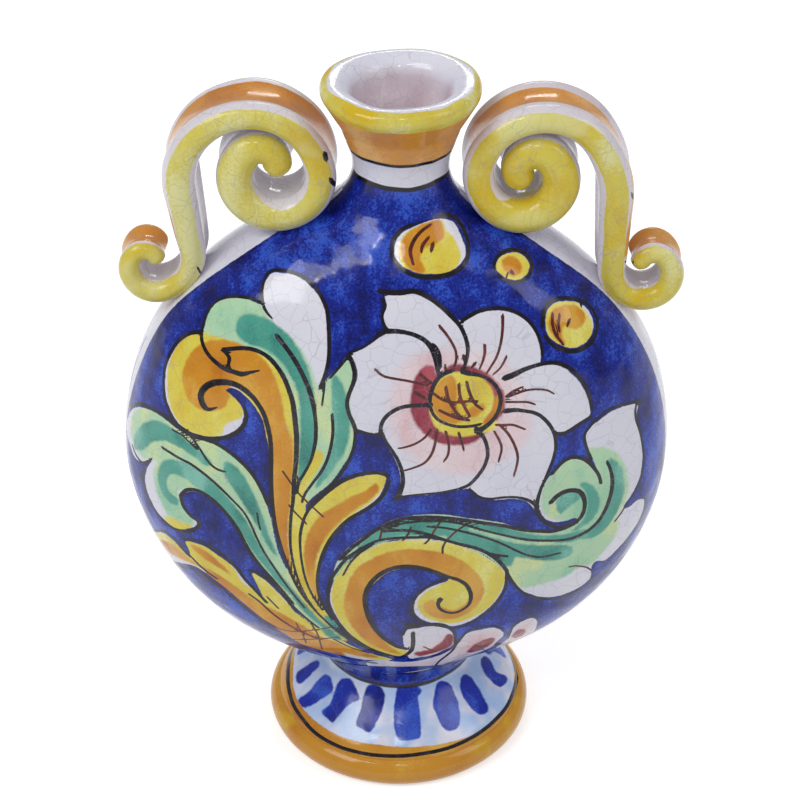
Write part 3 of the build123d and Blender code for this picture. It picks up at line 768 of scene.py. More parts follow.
# green leaf at the far left
leftLeaf = {
    "reserve": [((128, 415), (132, 409), (138, 407), (146, 409), (155, 413), (165, 420), (175, 428),
         (183, 433), (190, 436), (200, 440), (216, 446), (228, 454), (240, 464), (250, 474), (258, 486),
         (264, 498), (269, 514), (272, 526), (275, 542), (280, 558), (288, 574), (298, 590), (310, 606),
         (322, 620), (340, 636), (330, 636), (320, 631), (310, 623), (300, 614), (290, 602), (280, 590),
         (270, 579), (263, 570), (256, 563), (249, 554), (242, 541), (236, 530), (230, 520), (222, 511),
         (214, 502), (205, 496), (196, 492), (188, 492), (182, 495), (181, 502), (184, 510), (190, 518),
         (196, 522), (195, 527), (188, 529), (180, 530), (173, 528), (165, 522), (157, 514), (151, 504),
         (146, 492), (144, 480), (146, 470), (150, 461), (145, 462), (138, 461), (133, 455), (130, 446),
         (127, 435), (126, 425))],
    "paleGreen": [((131, 420), (136, 411), (146, 410), (156, 414), (166, 421), (176, 429), (188, 436),
         (202, 441), (217, 447), (230, 456), (242, 466), (252, 477), (260, 490), (266, 504), (270, 518),
         (274, 540), (281, 560), (290, 577), (300, 593), (312, 608), (326, 624), (334, 633), (322, 630),
         (308, 621), (292, 604), (278, 587), (264, 570), (252, 556), (242, 540), (232, 522), (220, 508),
         (206, 496), (192, 490), (182, 488), (176, 492), (180, 504), (188, 517), (192, 523), (182, 526),
         (170, 520), (162, 506), (156, 490), (154, 474), (158, 462), (150, 458), (142, 456), (135, 446),
         (131, 434))],
    "teal": [((134, 448), (134, 436), (140, 426), (150, 421), (162, 423), (176, 432), (188, 443), (200, 452),
         (212, 463), (206, 466), (194, 457), (180, 448), (165, 441), (152, 442), (142, 450)),
        ((158, 470), (164, 461), (175, 460), (190, 466), (205, 476), (220, 490), (235, 507), (246, 522),
         (255, 540), (266, 558), (280, 576), (296, 596), (286, 592), (268, 572), (252, 552), (240, 532),
         (228, 515), (214, 500), (198, 489), (184, 478), (172, 474), (166, 480), (168, 492), (178, 500),
         (174, 506), (164, 498), (158, 484)),
        ((226, 462), (240, 472), (252, 492), (261, 514), (268, 536), (276, 556), (268, 548), (258, 528),
         (246, 508), (234, 490), (224, 474)),
        ((284, 580), (294, 592), (306, 606), (318, 619), (334, 633), (324, 629), (308, 616), (294, 600))],
    "yellow": [((164, 519), (172, 520), (180, 524), (190, 526), (186, 529), (178, 530), (170, 526))],
    "black": [(4, (130, 406), (140, 404), (152, 409), (165, 417), (178, 426), (190, 434), (202, 438),
         (216, 444), (230, 453), (243, 464), (254, 477), 3, (262, 492), (267, 504)),
        (4, (180, 496), (187, 490), (198, 491), (210, 498), (220, 507), (230, 519), (238, 531), (245, 545),
         (253, 558), 3, (262, 569), (272, 580), 2.2, (283, 592), (293, 604)),
        (4, (143, 470), (142, 482), (145, 495), (151, 507), (160, 519), (170, 528), (182, 532), (192, 531),
         (200, 523), (190, 516), (183, 507), (180, 497)), (2.5, (151, 459), (146, 464), (142, 466)),
        (2, (172, 430), (182, 436), (196, 449)),
        (2.5, (187, 430), (193, 440), (200, 450), (208, 462), (216, 469), (224, 472)),
        (2, (257, 514), (258, 522), (260, 530)), (3.2, (132, 446), (136, 456), (142, 463), (149, 461)),
        (3, (162, 448), (170, 453), (180, 459), (190, 464), (200, 471), (210, 479), (220, 488), 2.4,
         (232, 500), (243, 512), (250, 524), (256, 538), (263, 552), (272, 566), (286, 586), (304, 608))],
    "brown": []}

# orange leaf along the lower left
underStem = ((290, 505), (304, 500), (305, 525), (303, 560), (308, 585), (320, 606), (334, 626), (348, 642),
             (332, 634), (312, 614), (299, 592), (291, 566), (289, 535))
lowLeaf = {
    "reserve": [((153, 533), (160, 533), (170, 539), (180, 549), (190, 559), (188, 550), (185, 542),
         (196, 544), (206, 548), (216, 555), (226, 562), (235, 570), (240, 577), (248, 586), (258, 596),
         (265, 603), (260, 592), (255, 582), (251, 573), (258, 577), (268, 584), (278, 594), (286, 602),
         (294, 612), (306, 621), (315, 628), (330, 634), (350, 646), (372, 655), (392, 660), (380, 661),
         (360, 660), (340, 656), (320, 651), (302, 645), (285, 635), (270, 625), (257, 615), (240, 601),
         (222, 586), (206, 574), (192, 566), (178, 563), (168, 558), (158, 545)), underStem],
    "yellow": [((154, 535), (162, 535), (172, 542), (184, 551), (186, 543), (196, 545), (206, 549),
         (217, 556), (227, 564), (234, 572), (240, 582), (252, 590), (252, 574), (260, 579), (268, 586),
         (278, 596), (290, 608), (304, 620), (316, 629), (330, 637), (350, 647), (374, 656), (390, 660),
         (370, 659), (345, 654), (320, 646), (300, 638), (280, 627), (262, 612), (244, 597), (226, 583),
         (208, 572), (190, 563), (174, 556), (162, 546)), underStem],
    "orange": [((158, 540), (168, 543), (178, 551), (188, 559), (198, 565), (210, 571), (222, 578),
         (236, 588), (250, 598), (264, 606), (276, 612), (288, 618), (302, 626), (318, 636), (336, 643),
         (356, 651), (378, 658), (360, 657), (338, 652), (318, 645), (300, 637), (282, 626), (266, 615),
         (250, 603), (234, 590), (216, 577), (198, 567), (180, 559), (166, 551)),
        ((190, 546), (200, 549), (212, 557), (222, 566), (230, 575), (218, 568), (204, 559)),
        ((206, 570), (216, 576), (234, 589), (250, 602), (266, 614), (282, 625), (300, 636), (318, 644),
         (340, 652), (344, 658), (322, 652), (302, 646), (285, 636), (269, 626), (256, 616), (239, 602),
         (221, 587), (208, 577))],
    "teal": [((322, 628), (332, 632), (342, 640), (334, 640), (325, 635)),
        ((324, 616), (334, 620), (348, 634), (358, 644), (346, 640), (330, 628))],
    "black": [(3, (180, 548), (189, 556), (197, 564), (206, 572), (216, 579)),
        (3.4, (150, 530), (161, 531), (171, 537), (181, 546)),
        (3.4, (183, 540), (196, 541), (208, 546), (219, 553), (229, 561), (238, 570), (244, 579), (254, 590),
         (266, 603)),
        (3, (249, 571), (259, 575), (270, 583), (281, 594), 2.6, (291, 605), (304, 617), (318, 628)),
        (3, (156, 548), (168, 560), (180, 567), (196, 571), (214, 583), (232, 598), (250, 613), (266, 626),
         (284, 638), (304, 648), (326, 656), (350, 661), (376, 663)),
        (2, (334, 640), (350, 648), (368, 654))],
    "brown": [(2, (177, 564), (186, 566), (200, 575), (214, 585), (232, 597), (250, 612), (264, 621),
         (276, 628)), (2.5, (249, 595), (260, 603), (272, 614), (286, 624), (300, 632), (320, 640)),
        (2, (267, 598), (278, 609)), (1.6, (274, 628), (290, 632), (310, 631), (330, 628)),
        (1.8, (311, 624), (318, 636), (322, 650)), (1.6, (296, 624), (302, 634), (306, 644)),
        (1.6, (290, 640), (312, 640), (338, 638))]}

# yellow leaf between the stem and the large volute
middleLeaf = {
    "reserve": [((386, 480), (385, 477), (378, 475), (364, 476), (350, 480), (340, 485), (330, 492),
         (320, 500), (310, 510), (304, 520), (300, 534), (299, 550), (300, 566), (303, 580), (309, 596),
         (316, 608), (330, 621), (340, 630), (332, 618), (326, 610), (322, 604), (320, 596), (318, 582),
         (318, 570), (320, 558), (324, 548), (330, 538), (338, 528), (346, 520), (356, 514), (366, 508),
         (376, 500), (382, 492))],
    "yellow": [((386, 477), (376, 475), (362, 476), (348, 481), (334, 490), (320, 501), (310, 512),
         (304, 524), (300, 540), (301, 562), (306, 582), (314, 600), (326, 615), (321, 602), (317, 586),
         (316, 570), (320, 554), (328, 538), (340, 523), (356, 511), (370, 501), (380, 490))],
    "orange": [((376, 484), (366, 491), (352, 497), (338, 505), (324, 513), (314, 524), (307, 537),
         (304, 552), (305, 566), (309, 582), (315, 596), (322, 606), (317, 590), (314, 574), (316, 558),
         (321, 546), (330, 532), (342, 520), (356, 509), (370, 500), (378, 491))],
    "black": [(4, (388, 476), (378, 473), (362, 474), (346, 479), (332, 488), (318, 500), 3, (308, 511),
         (303, 522), (300, 536), 2.4, (300, 550), (302, 566), (306, 582), (313, 597), (322, 610)),
        (4, (389, 482), (384, 494), (376, 503), (364, 511), (350, 519), (340, 528), (331, 539), (324, 552), 3,
         (319, 566), (317, 582), (319, 596), 2.4, (323, 606), (332, 620))],
    "brown": []}

# large volute in the middle, below the flower
rightVolute = {
    "reserve": [((506, 574), (500, 568), (490, 560), (478, 553), (466, 548), (454, 544), (440, 541),
         (426, 540), (410, 540), (394, 542), (380, 544), (368, 549), (358, 555), (350, 562), (342, 570),
         (335, 579), (331, 590), (330, 600), (333, 610), (338, 619), (346, 630), (356, 640), (368, 648),
         (380, 654), (392, 658), (400, 658), (408, 656), (411, 651), (406, 651), (396, 649), (386, 643),
         (378, 634), (372, 624), (368, 612), (366, 600), (369, 590), (376, 582), (386, 574), (398, 570),
         (410, 568), (424, 570), (436, 573), (448, 578), (448, 581), (436, 585), (426, 590), (418, 597),
         (414, 606), (416, 615), (424, 621), (434, 624), (444, 626), (452, 627), (462, 625), (472, 621),
         (484, 613), (494, 604), (501, 594), (505, 584))],
    "yellow": [((504, 577), (494, 565), (480, 556), (464, 549), (446, 544), (426, 542), (406, 542),
         (386, 545), (370, 551), (356, 559), (345, 569), (336, 582), (333, 596), (336, 611), (345, 627),
         (358, 640), (374, 650), (392, 656), (408, 655), (396, 649), (383, 640), (374, 627), (368, 610),
         (368, 594), (376, 582), (390, 573), (408, 569), (430, 572), (450, 579), (440, 586), (427, 593),
         (419, 603), (424, 615), (438, 621), (454, 623), (470, 618), (486, 609), (498, 595))],
    "orange": [((484, 588), (480, 578), (472, 569), (460, 560), (446, 554), (428, 551), (410, 550),
         (394, 552), (380, 556), (368, 562), (358, 569), (351, 578), (347, 588), (344, 600), (345, 610),
         (349, 622), (358, 634), (370, 644), (384, 651), (400, 655), (388, 646), (378, 634), (370, 618),
         (366, 602), (369, 590), (376, 581), (388, 573), (402, 569), (418, 568), (436, 573), (452, 579),
         (464, 585), (470, 596), (464, 606), (452, 611), (440, 606), (432, 600), (424, 606), (429, 615),
         (441, 619), (455, 619), (467, 614), (476, 607), (483, 597))],
    "black": [(5, (406, 650), (396, 647), (386, 641), (377, 632), (370, 621), (366, 609), (365, 598),
         (368, 588), (375, 579), (385, 572), (397, 568), (410, 567), (424, 569), (437, 573), 4.2, (448, 577),
         (458, 580), (466, 585), (470, 592), (471, 598), 3.4, (469, 605), (463, 610), (456, 613), (448, 613),
         (441, 610), (438, 605), 6, (440, 600)),
        (4, (464, 545), (478, 549), (490, 555), (500, 563), (507, 572), (507, 579)),
        (3, (507, 579), (505, 590), (500, 600), (492, 610), (482, 617), (472, 623), (460, 628), (448, 628),
         (436, 626), (425, 624), (416, 620), (412, 612), (412, 604), (416, 596), (424, 589), (434, 583),
         (444, 579)),
        (3.6, (360, 550), (346, 560), (336, 572), (330, 582), (328, 594), (329, 606), (334, 618), (343, 630),
         (355, 640), (369, 649), (385, 655), 4.5, (400, 658), (410, 653), (413, 646), (413, 634)),
        (7, (408, 625), (416, 627)),
        (3, (360, 550), (376, 542), (394, 539), (412, 538), (430, 538), (448, 541), (464, 545))],
    "brown": []}

# green leaf that sweeps to the right, with its curl
rightLeaf = {
    "reserve": [((337, 590), (333, 578), (336, 565), (344, 553), (356, 543), (370, 533), (386, 524),
         (402, 518), (424, 515), (446, 515), (466, 518), (484, 520), (502, 523), (518, 528), (534, 532),
         (550, 533), (564, 529), (576, 524), (584, 516), (590, 505), (596, 492), (600, 479), (596, 466),
         (590, 452), (586, 438), (590, 429), (600, 421), (612, 412), (626, 406), (638, 404), (637, 416),
         (640, 432), (643, 448), (643, 464), (640, 480), (632, 496), (624, 508), (630, 508), (638, 501),
         (645, 500), (644, 510), (639, 522), (630, 536), (618, 550), (606, 561), (597, 562), (592, 568),
         (591, 578), (584, 585), (572, 592), (558, 597), (542, 598), (530, 595), (520, 590), (512, 581),
         (506, 572), (498, 565), (488, 557), (476, 551), (462, 546), (446, 541), (428, 539), (408, 539),
         (390, 541), (374, 546), (360, 553), (350, 561), (343, 571), (338, 582)),
        ((550, 476), (556, 468), (564, 461), (572, 458), (580, 459), (588, 463), (595, 470), (600, 478),
         (604, 490), (603, 502), (598, 512), (590, 520), (580, 522), (576, 518), (566, 521), (554, 522),
         (546, 519), (541, 513), (539, 504), (541, 492), (545, 483))],
    "paleGreen": [((337, 590), (334, 578), (338, 566), (346, 554), (358, 544), (372, 534), (388, 525),
         (404, 519), (424, 516), (446, 516), (466, 519), (486, 522), (504, 525), (520, 530), (536, 533),
         (552, 533), (566, 529), (578, 523), (588, 512), (596, 498), (600, 482), (596, 466), (590, 452),
         (600, 450), (612, 452), (622, 462), (627, 476), (628, 490), (624, 504), (616, 518), (618, 528),
         (612, 542), (600, 556), (592, 564), (578, 568), (566, 576), (550, 582), (534, 586), (522, 588),
         (512, 579), (500, 566), (484, 554), (464, 546), (444, 540), (420, 538), (396, 540), (374, 546),
         (356, 556), (344, 569)),
        ((549, 478), (558, 466), (572, 460), (586, 464), (596, 474), (600, 488), (598, 504), (590, 517),
         (578, 519), (560, 519), (548, 515), (543, 504), (544, 490))],
    "teal": [((610, 459), (618, 463), (623, 472), (625, 484), (624, 496), (619, 510), (612, 522), (604, 532),
         (594, 538), (584, 540), (578, 536), (590, 530), (600, 521), (607, 510), (611, 498), (613, 486),
         (613, 474), (610, 465)),
        ((557, 500), (562, 494), (570, 492), (577, 493), (580, 498), (574, 503), (566, 509), (560, 514),
         (557, 508)),
        ((580, 484), (590, 484), (597, 492), (600, 502), (598, 512), (590, 522), (580, 529), (572, 532),
         (582, 522), (587, 512), (588, 500), (584, 490)),
        ((448, 540), (462, 543), (478, 548), (492, 556), (505, 566), (512, 566), (515, 558), (526, 559),
         (540, 561), (556, 561), (568, 558), (573, 552), (570, 547), (556, 546), (540, 546), (524, 545),
         (508, 542), (492, 538), (476, 533), (460, 528), (450, 530)),
        ((462, 520), (484, 523), (506, 528), (528, 534), (550, 536), (570, 534), (586, 530), (584, 538),
         (566, 543), (548, 542), (528, 541), (508, 537), (490, 532), (474, 528)),
        ((356, 552), (366, 540), (384, 527), (400, 521), (420, 518), (440, 518), (456, 520), (470, 526),
         (462, 533), (446, 536), (428, 536), (408, 536), (390, 539), (374, 546), (360, 554))],
    "black": [(4, (340, 560), (350, 550), (362, 541), (374, 532), (390, 524), (406, 519), (424, 517.6),
         (444, 518), (464, 520), (484, 523), (504, 526), (522, 530), (540, 531.6), (552, 532), (564, 529),
         (575, 524)),
        (2.5, (386, 529), (404, 524), (424, 521.6), (444, 521.6), (460, 523.6), (472, 527), (486, 531),
         (502, 535), 3, (520, 539), (536, 541), (560, 541), 4, (572, 539), (586, 533), (598, 523), 4.5,
         (606, 510), (611, 496), (613, 482), 3.4, (611, 470), (608, 463)),
        (2.5, (428, 527), (444, 528), (460, 531), (476, 535), (492, 540), (506, 546), (518, 552), (528, 556),
         (542, 558), (560, 554)),
        (3.5, (384, 532), (400, 531), (416, 532), (432, 536), (448, 541), (466, 546)),
        (3, (476, 548), (490, 554), (507, 557)),
        (5, (551, 502), (558, 495), (568, 490.6), (578, 491), (583, 496), 4.2, (585, 504), (583, 514),
         (578, 521), (568, 526), 3.6, (558, 527.6), (546, 523), (539, 516), (536, 508), 3, (537, 500),
         (541, 488), (546, 478)),
        (3.5, (552, 474), (562, 463), (572, 458), (582, 459), (590, 464), (597, 472), (600, 478), (601, 483)),
        (3, (638, 400), (636, 410), (637, 420), (641, 432), (644, 448), (645, 462), (642, 478), (636, 492),
         2.4, (628, 504), (622, 514), (616, 522)),
        (3, (597, 420), (606, 412), (616, 407), (628, 404), (640, 401)),
        (3, (597, 420), (590, 428), (585, 436), (587, 448), (592, 460)),
        (2, (372, 546), (360, 554), (350, 564), (343, 576)),
        (3, (507, 573), (513, 583), (521, 592), (531, 598), (544, 600), (560, 599), (574, 593), (586, 587),
         (592, 580)),
        (2.6, (646, 500), (645, 511), (640, 524), (631, 537), (619, 551), (607, 563), (596, 571))],
    "brown": [(2, (570, 568), (576, 567), (586, 568), (592, 571)), (2.2, (411, 528), (408, 535), (403, 541)),
        (2.2, (441, 521), (435, 530), (429, 540), (425, 544)),
        (2.2, (469, 523), (458, 530), (448, 539), (443, 547), (442.6, 553)), (2.2, (382, 530), (380, 539))]}

# pink buds in a row at the foot of the ornament
rightBud = ((507, 641), (510, 634), (516, 627), (524, 622), (532, 619), (537, 621), (537, 627), (532, 634),
            (522, 639), (510, 646), (496, 649))
buds = {
    "reserve": [((403, 638), (407, 631), (418, 629), (430, 627), (442, 628), (451, 632), (454, 640),
         (452, 647), (442, 652), (432, 656), (420, 658), (410, 659), (405, 650)),
        ((460, 642), (468, 634), (480, 631), (494, 629), (502, 632), (504, 637), (498, 642), (492, 648),
         (480, 653), (464, 658), (448, 662), (428, 667), (404, 669), (380, 667), (366, 663), (380, 661),
         (400, 662), (420, 661), (440, 656), (452, 650)), rightBud],
    "pink": [((460, 642), (468, 634), (480, 631), (494, 629), (502, 632), (504, 637), (498, 642), (492, 648),
         (480, 653), (464, 658), (448, 662), (428, 667), (404, 669), (384, 667), (380, 663), (400, 662),
         (420, 661), (440, 656), (452, 650)), rightBud,
        ((420, 646), (432, 640), (444, 634), (452, 634), (453, 642), (446, 649), (434, 654), (420, 657))],
    "wine": [((414, 654), (430, 650), (441, 643), (448, 635), (454, 637), (453, 645), (448, 649), (434, 654),
         (420, 657)), ((467, 653), (474, 646), (484, 641), (494, 639), (494, 643), (486, 649), (476, 653)),
        ((512, 638), (518, 631), (526, 631), (524, 636), (517, 639))],
    "black": [(3, (460, 640), (456, 646), (453, 651)), (3, (452, 652), (440, 661), (433, 667)),
        (3, (366, 665), (386, 669), (406, 671), (428, 670), (450, 666), (468, 660), (490, 651)),
        (2.4, (496, 650), (510, 647), (522, 641), (532, 635), (538, 627)),
        (2.6, (403, 636), (408, 628), (420, 626), (434, 624), (446, 626), (455, 633), (455, 643)),
        (2.4, (460, 641), (468, 632), (480, 628), (494, 627), (504, 631)),
        (2.4, (508, 640), (514, 627), (524, 620), (534, 617))],
    "brown": [(2, (476, 646), (484, 651)), (2, (424, 648), (434, 652))]}

# stripes of the foot, the white between them and its black edge
footPaint = {
    "stripes": [((296, 674), (303, 668), (312, 662), (319, 660), (319, 666), (312, 673), (305, 681),
         (298, 684)),
        ((298, 700), (310, 690), (318, 680), (325, 674), (331, 678), (333, 690), (325, 697), (314, 704),
         (304, 708), (299, 704)),
        ((321, 712), (330, 704), (334, 692), (338, 682), (345, 678), (352, 680), (358, 694), (359, 700),
         (350, 704), (340, 714), (333, 723), (328, 719)),
        ((356, 724), (361, 708), (364, 694), (368, 685), (374, 684), (381, 687), (385, 694), (384, 704),
         (380, 716), (374, 727), (369, 733), (362, 729)),
        ((394, 706), (396, 694), (398, 686), (404, 683), (414, 684), (420, 688), (422, 692), (418, 697),
         (420, 712), (421, 728), (420, 738), (410, 740), (398, 739), (394, 724)),
        ((433, 704), (435, 690), (437, 683), (442, 681), (450, 684), (454, 692), (458, 702), (460, 716),
         (459, 726), (452, 731), (444, 729), (438, 718)),
        ((460, 690), (461, 678), (465, 674), (471, 677), (476, 684), (481, 692), (486, 702), (489, 710),
         (482, 715), (474, 711), (468, 704)),
        ((480, 662), (484, 656), (489, 658), (492, 663), (497, 672), (506, 676), (507, 682), (500, 687),
         (492, 682), (485, 674)),
        ((494, 652), (500, 650), (505, 652), (508, 658), (512, 664), (508, 667), (501, 662))],
    "white": [((297, 640), (294, 660), (293, 676), (294, 690), (300, 704), (312, 718), (330, 731), (352, 740),
         (380, 745), (410, 747), (440, 744), (465, 738), (483, 728), (497, 716), (508, 702), (513, 688),
         (514, 670), (513, 650), (512, 635), (400, 620))],
    "black": [(3.8, (288, 640), (287, 655), (288, 668), (288, 682), (290, 694), (294, 706), (302, 718),
         (312, 730), (324, 739), (340, 747), (357, 752), (374, 755), (398, 756), (420, 754), (445, 749),
         (465, 741), (482, 731), (496, 719), (507, 706), (514, 690), (517, 675), (517, 660), (516, 645))]}

motifs = (flower, dots, leftVolute, tipLeaf, leftLeaf, lowLeaf, middleLeaf, rightVolute, rightLeaf, buds)

# how the rays of the camera look for the body, in mm from the camera
raySearch = {"near": 380, "far": 640, "samples": 131, "rounds": 60, "back": -2, "ahead": 40, "miss": 0.3}


def photoRays():
    pitch, yaw = math.radians(viewpoint["pitch"]), math.radians(viewpoint["yaw"])
    forward = np.array([math.sin(yaw) * math.cos(pitch), math.cos(yaw) * math.cos(pitch), -math.sin(pitch)])
    right = np.array([math.cos(yaw), -math.sin(yaw), 0])
    return forward, right, np.cross(right, forward), viewpoint["lens"] / viewpoint["sensor"] * photoSize


# where a pixel of the photograph meets the plain body, unrolled flat like the mesh's grid
def unroll(pixels):
    forward, right, up, focal = photoRays()
    pixels = np.asarray(pixels, float)
    eye = np.array(viewpoint["place"])
    ways = forward + ((pixels[:, :1] - photoSize / 2) * right - (pixels[:, 1:2] - photoSize / 2) * up) / focal
    ways /= np.linalg.norm(ways, axis=1)[:, None]
    far = np.full(len(ways), float(raySearch["near"]))
    for _ in range(raySearch["rounds"]):
        far += np.clip(bodyGap(eye + ways * far[:, None]), raySearch["back"], raySearch["ahead"])
    # a mark just beside the body takes the nearest place on its outline
    reaches = np.linspace(raySearch["near"], raySearch["far"], raySearch["samples"])
    nearest = reaches[np.array([bodyGap(eye + ways * reach) for reach in reaches]).argmin(0)]
    far = np.where(bodyGap(eye + ways * far[:, None]) > raySearch["miss"], nearest, far)
    p = eye + ways * far[:, None]
    rho, depth = np.hypot(p[:, 0], p[:, 2] - body["centreZ"]), np.abs(p[:, 1])
    turn = np.arctan2(rho, depth - body["domeCentre"])
    rimTurn = np.arctan2(rho - body["track"], depth)
    onRim = body["dome"] * body["join"] + body["rim"] * (rimTurn - body["join"])
    run = np.where(turn < body["join"], body["dome"] * turn, onRim)
    angle = np.arctan2(p[:, 2] - body["centreZ"], p[:, 0])
    return np.stack([run * np.cos(angle), run * np.sin(angle)], 1)


# the pixel that shows a point, where the back half repeats the front
def toPhoto(p):
    forward, right, up, focal = photoRays()
    d = np.stack([p[:, 0], -np.abs(p[:, 1]), p[:, 2]], 1) - np.array(viewpoint["place"])
    depth = d @ forward
    return photoSize / 2 + np.stack([focal * (d @ right) / depth, -focal * (d @ up) / depth], 1)


# fineness of outlines and strokes and the space round them that is searched, in mm
paintGrid = {"areaGap": 0.9, "lineGap": 0.7, "areaReach": 5, "lineReach": 3, "leastWidth": 0.2, "width": 3.0,
             "tiny": 1e-9, "pixelsPerMm": 3.55}
# what is kept where no edge and no stroke is near
farOff = 6.0
offShare = 9.0


def closeTo(spots, line, reach):
    return np.all((spots > line.min(0) - reach) & (spots < line.max(0) + reach), axis=1)


# offset from a short piece of line to each spot, and how far along it the nearest place is
def fromPiece(spots, start, way):
    share = np.clip(((spots - start) @ way) / max(way @ way, paintGrid["tiny"]), 0, 1)
    return spots - start - share[:, None] * way, share


# distance to an area's edge in mm, below zero inside it
def areaGap(spots, areas, place, scale=1.0):
    total = np.full(len(spots), farOff)
    for area in areas:
        outline = smoothLine(place(area), paintGrid["areaGap"] * scale, closed=True)
        near = closeTo(spots, outline, paintGrid["areaReach"] * scale)
        if not near.any():
            continue
        q = spots[near]
        best = np.full(len(q), np.inf)
        inside = np.zeros(len(q), bool)
        for a, b in zip(outline[:-1], outline[1:]):
            way = b - a
            best = np.minimum(best, (fromPiece(q, a, way)[0]**2).sum(1))
            crossed = (a[1] > q[:, 1]) != (b[1] > q[:, 1])
            if crossed.any():
                inside ^= crossed & (q[:, 0] < a[0] + (q[:, 1] - a[1]) * way[0] / way[1])
        gapHere = np.sqrt(best) / scale * np.where(inside, -1, 1)
        total[near] = np.minimum(total[near], gapHere)
    return np.clip(total, -farOff, farOff)


# a brush line keeps two values: how far off its middle, as a share of its half width with a sign for the
# side, which stays straight between the mesh's points, and how far from its edge in mm
def lineGaps(spots, lines, place, scale=1.0):
    share = np.full(len(spots), offShare)
    total = np.full(len(spots), farOff)
    for marks in lines:
        width, pixels, widths = paintGrid["width"], [], []
        for mark in marks:
            if isinstance(mark, (int, float)):
                width = mark
            else:
                pixels.append(mark)
                widths.append(width)
        perPixel = 1.0 if scale > 1 else paintGrid["pixelsPerMm"]
        flat = np.column_stack([place(pixels), np.array(widths) / perPixel])
        run = smoothLine(flat, paintGrid["lineGap"] * scale)
        near = closeTo(spots, run[:, :2], paintGrid["lineReach"] * scale)
        if not near.any():
            continue
        q = spots[near]
        bestGap, bestShare = np.full(len(q), np.inf), np.full(len(q), offShare)
        for a, b in zip(run[:-1], run[1:]):
            way = b[:2] - a[:2]
            off, t = fromPiece(q, a[:2], way)
            distance = np.sqrt((off**2).sum(1))
            side = np.sign(way[0] * off[:, 1] - way[1] * off[:, 0])
            half = np.maximum(a[2] + (b[2] - a[2]) * t, paintGrid["leastWidth"] * scale) / 2
            nearer = distance - half < bestGap
            bestGap[nearer] = (distance - half)[nearer]
            bestShare[nearer] = (distance / half * np.where(side == 0, 1, side))[nearer]
        bestGap /= scale
        nearer = bestGap < total[near]
        hit = np.nonzero(near)[0][nearer]
        total[hit] = bestGap[nearer]
        share[hit] = bestShare[nearer]
    return np.clip(share, -offShare, offShare), np.clip(total, -farOff, farOff)


# the cobalt's back edge: y in front of the seam, nearer to it round the neck and the foot
cobaltEdge = {"front": -7.6, "atNeck": 7.0, "neckReach": 28, "neckFrom": 140, "atFoot": 7.4, "footReach": 24,
              "footFrom": 50, "over": 18, "waver": 0.9, "waverLength": 30, "waverSeed": 31,
              "lineOff": 4.6, "lineHalf": 0.5, "lineTop": 128,
              "neckTop": 176.7, "neckLength": 14, "neckSeed": 33,
              "footEnd": 23.4, "footLength": 18, "footSeed": 34, "endWaver": 0.5}

# areas of colour from the lowest coat to the topmost: softness, waver and spread of the edge in mm
frontColours = {"paleGreen": (0.8, 0.9, 0.5), "pink": (2.2, 1.2, -1.4), "wine": (0.5, 0.9, 0.0),
                "yellow": (0.4, 0.6, 0.45), "orange": (0.45, 0.9, 0.1), "teal": (0.5, 0.9, 0.1)}


def storeStroke(mesh, colour, share, gap):
    storeValue(mesh, colour + "Share", share)
    storeValue(mesh, colour + "Gap", gap)


def paintFront(piece):
    mesh = piece.data
    edge = cobaltEdge
    p = readPoints(mesh) / mm
    x, y, z = p.T
    spots = np.stack([readValues(mesh, "unrolledX"), readValues(mesh, "unrolledY")], 1)
    outer = readValues(mesh, "outerSkin") > 0.5
    away = np.where(outer, 0, offShare)
    reserve = areaGap(spots, [area for motif in motifs for area in motif["reserve"]], unroll)
    upNeck = np.clip((z - edge["neckFrom"]) / edge["over"], 0, 1)
    downFoot = np.clip((edge["footFrom"] - z) / edge["over"], 0, 1)
    nearNeck = np.exp(-((x - neck["shift"]) / edge["neckReach"])**4) * upNeck
    nearFoot = np.exp(-((x - foot["shift"]) / edge["footReach"])**2) * downFoot
    behind = y - (edge["front"] + edge["atNeck"] * nearNeck + edge["atFoot"] * nearFoot
                  + edge["waver"] * handWave(p, edge["waverLength"], edge["waverSeed"]))
    above = z - edge["neckTop"] - edge["endWaver"] * handWave(p, edge["neckLength"], edge["neckSeed"])
    below = edge["footEnd"] - z + edge["endWaver"] * handWave(p, edge["footLength"], edge["footSeed"])
    white = np.maximum.reduce([-reserve, behind, above, below, 2 * away - offShare])
    storeValue(mesh, "cobaltGap", np.clip(white, -farOff, farOff))
    elsewhere = np.where((x < 0) & (z < edge["lineTop"]), 0, offShare)
    storeValue(mesh, "thinBlue", np.abs(behind - edge["lineOff"]) - edge["lineHalf"] + away + elsewhere)
    for colour in frontColours:
        areas = [area for motif in motifs for area in motif.get(colour, [])]
        storeValue(mesh, colour, areaGap(spots, areas, unroll) + away)
    for colour in ("black", "brown"):
        share, gap = lineGaps(spots, [line for motif in motifs for line in motif[colour]], unroll)
        storeStroke(mesh, colour, share, gap + away)


def samePlace(pixels):
    return np.asarray(pixels, float)


def paintFoot(piece):
    spots = toPhoto(readPoints(piece.data) / mm)
    scale = paintGrid["pixelsPerMm"]
    storeValue(piece.data, "stripes", areaGap(spots, footPaint["stripes"], samePlace, scale))
    storeValue(piece.data, "footWhite", areaGap(spots, footPaint["white"], samePlace, scale))
    storeStroke(piece.data, "black", *lineGaps(spots, footPaint["black"], samePlace, scale))


# black dabs and dark cracks on the front of the straps
strapDabs = {
    "left": [(5, (325, 154), (326, 159)), (5, (331, 180), (334, 184)), (2.4, (198, 268), (200, 272))],
    "right": [(2.4, (632, 194), (633, 198)), (2, (626, 262), (634, 267)), (1.8, (633, 262), (631, 272))],
    "frontTo": -2}


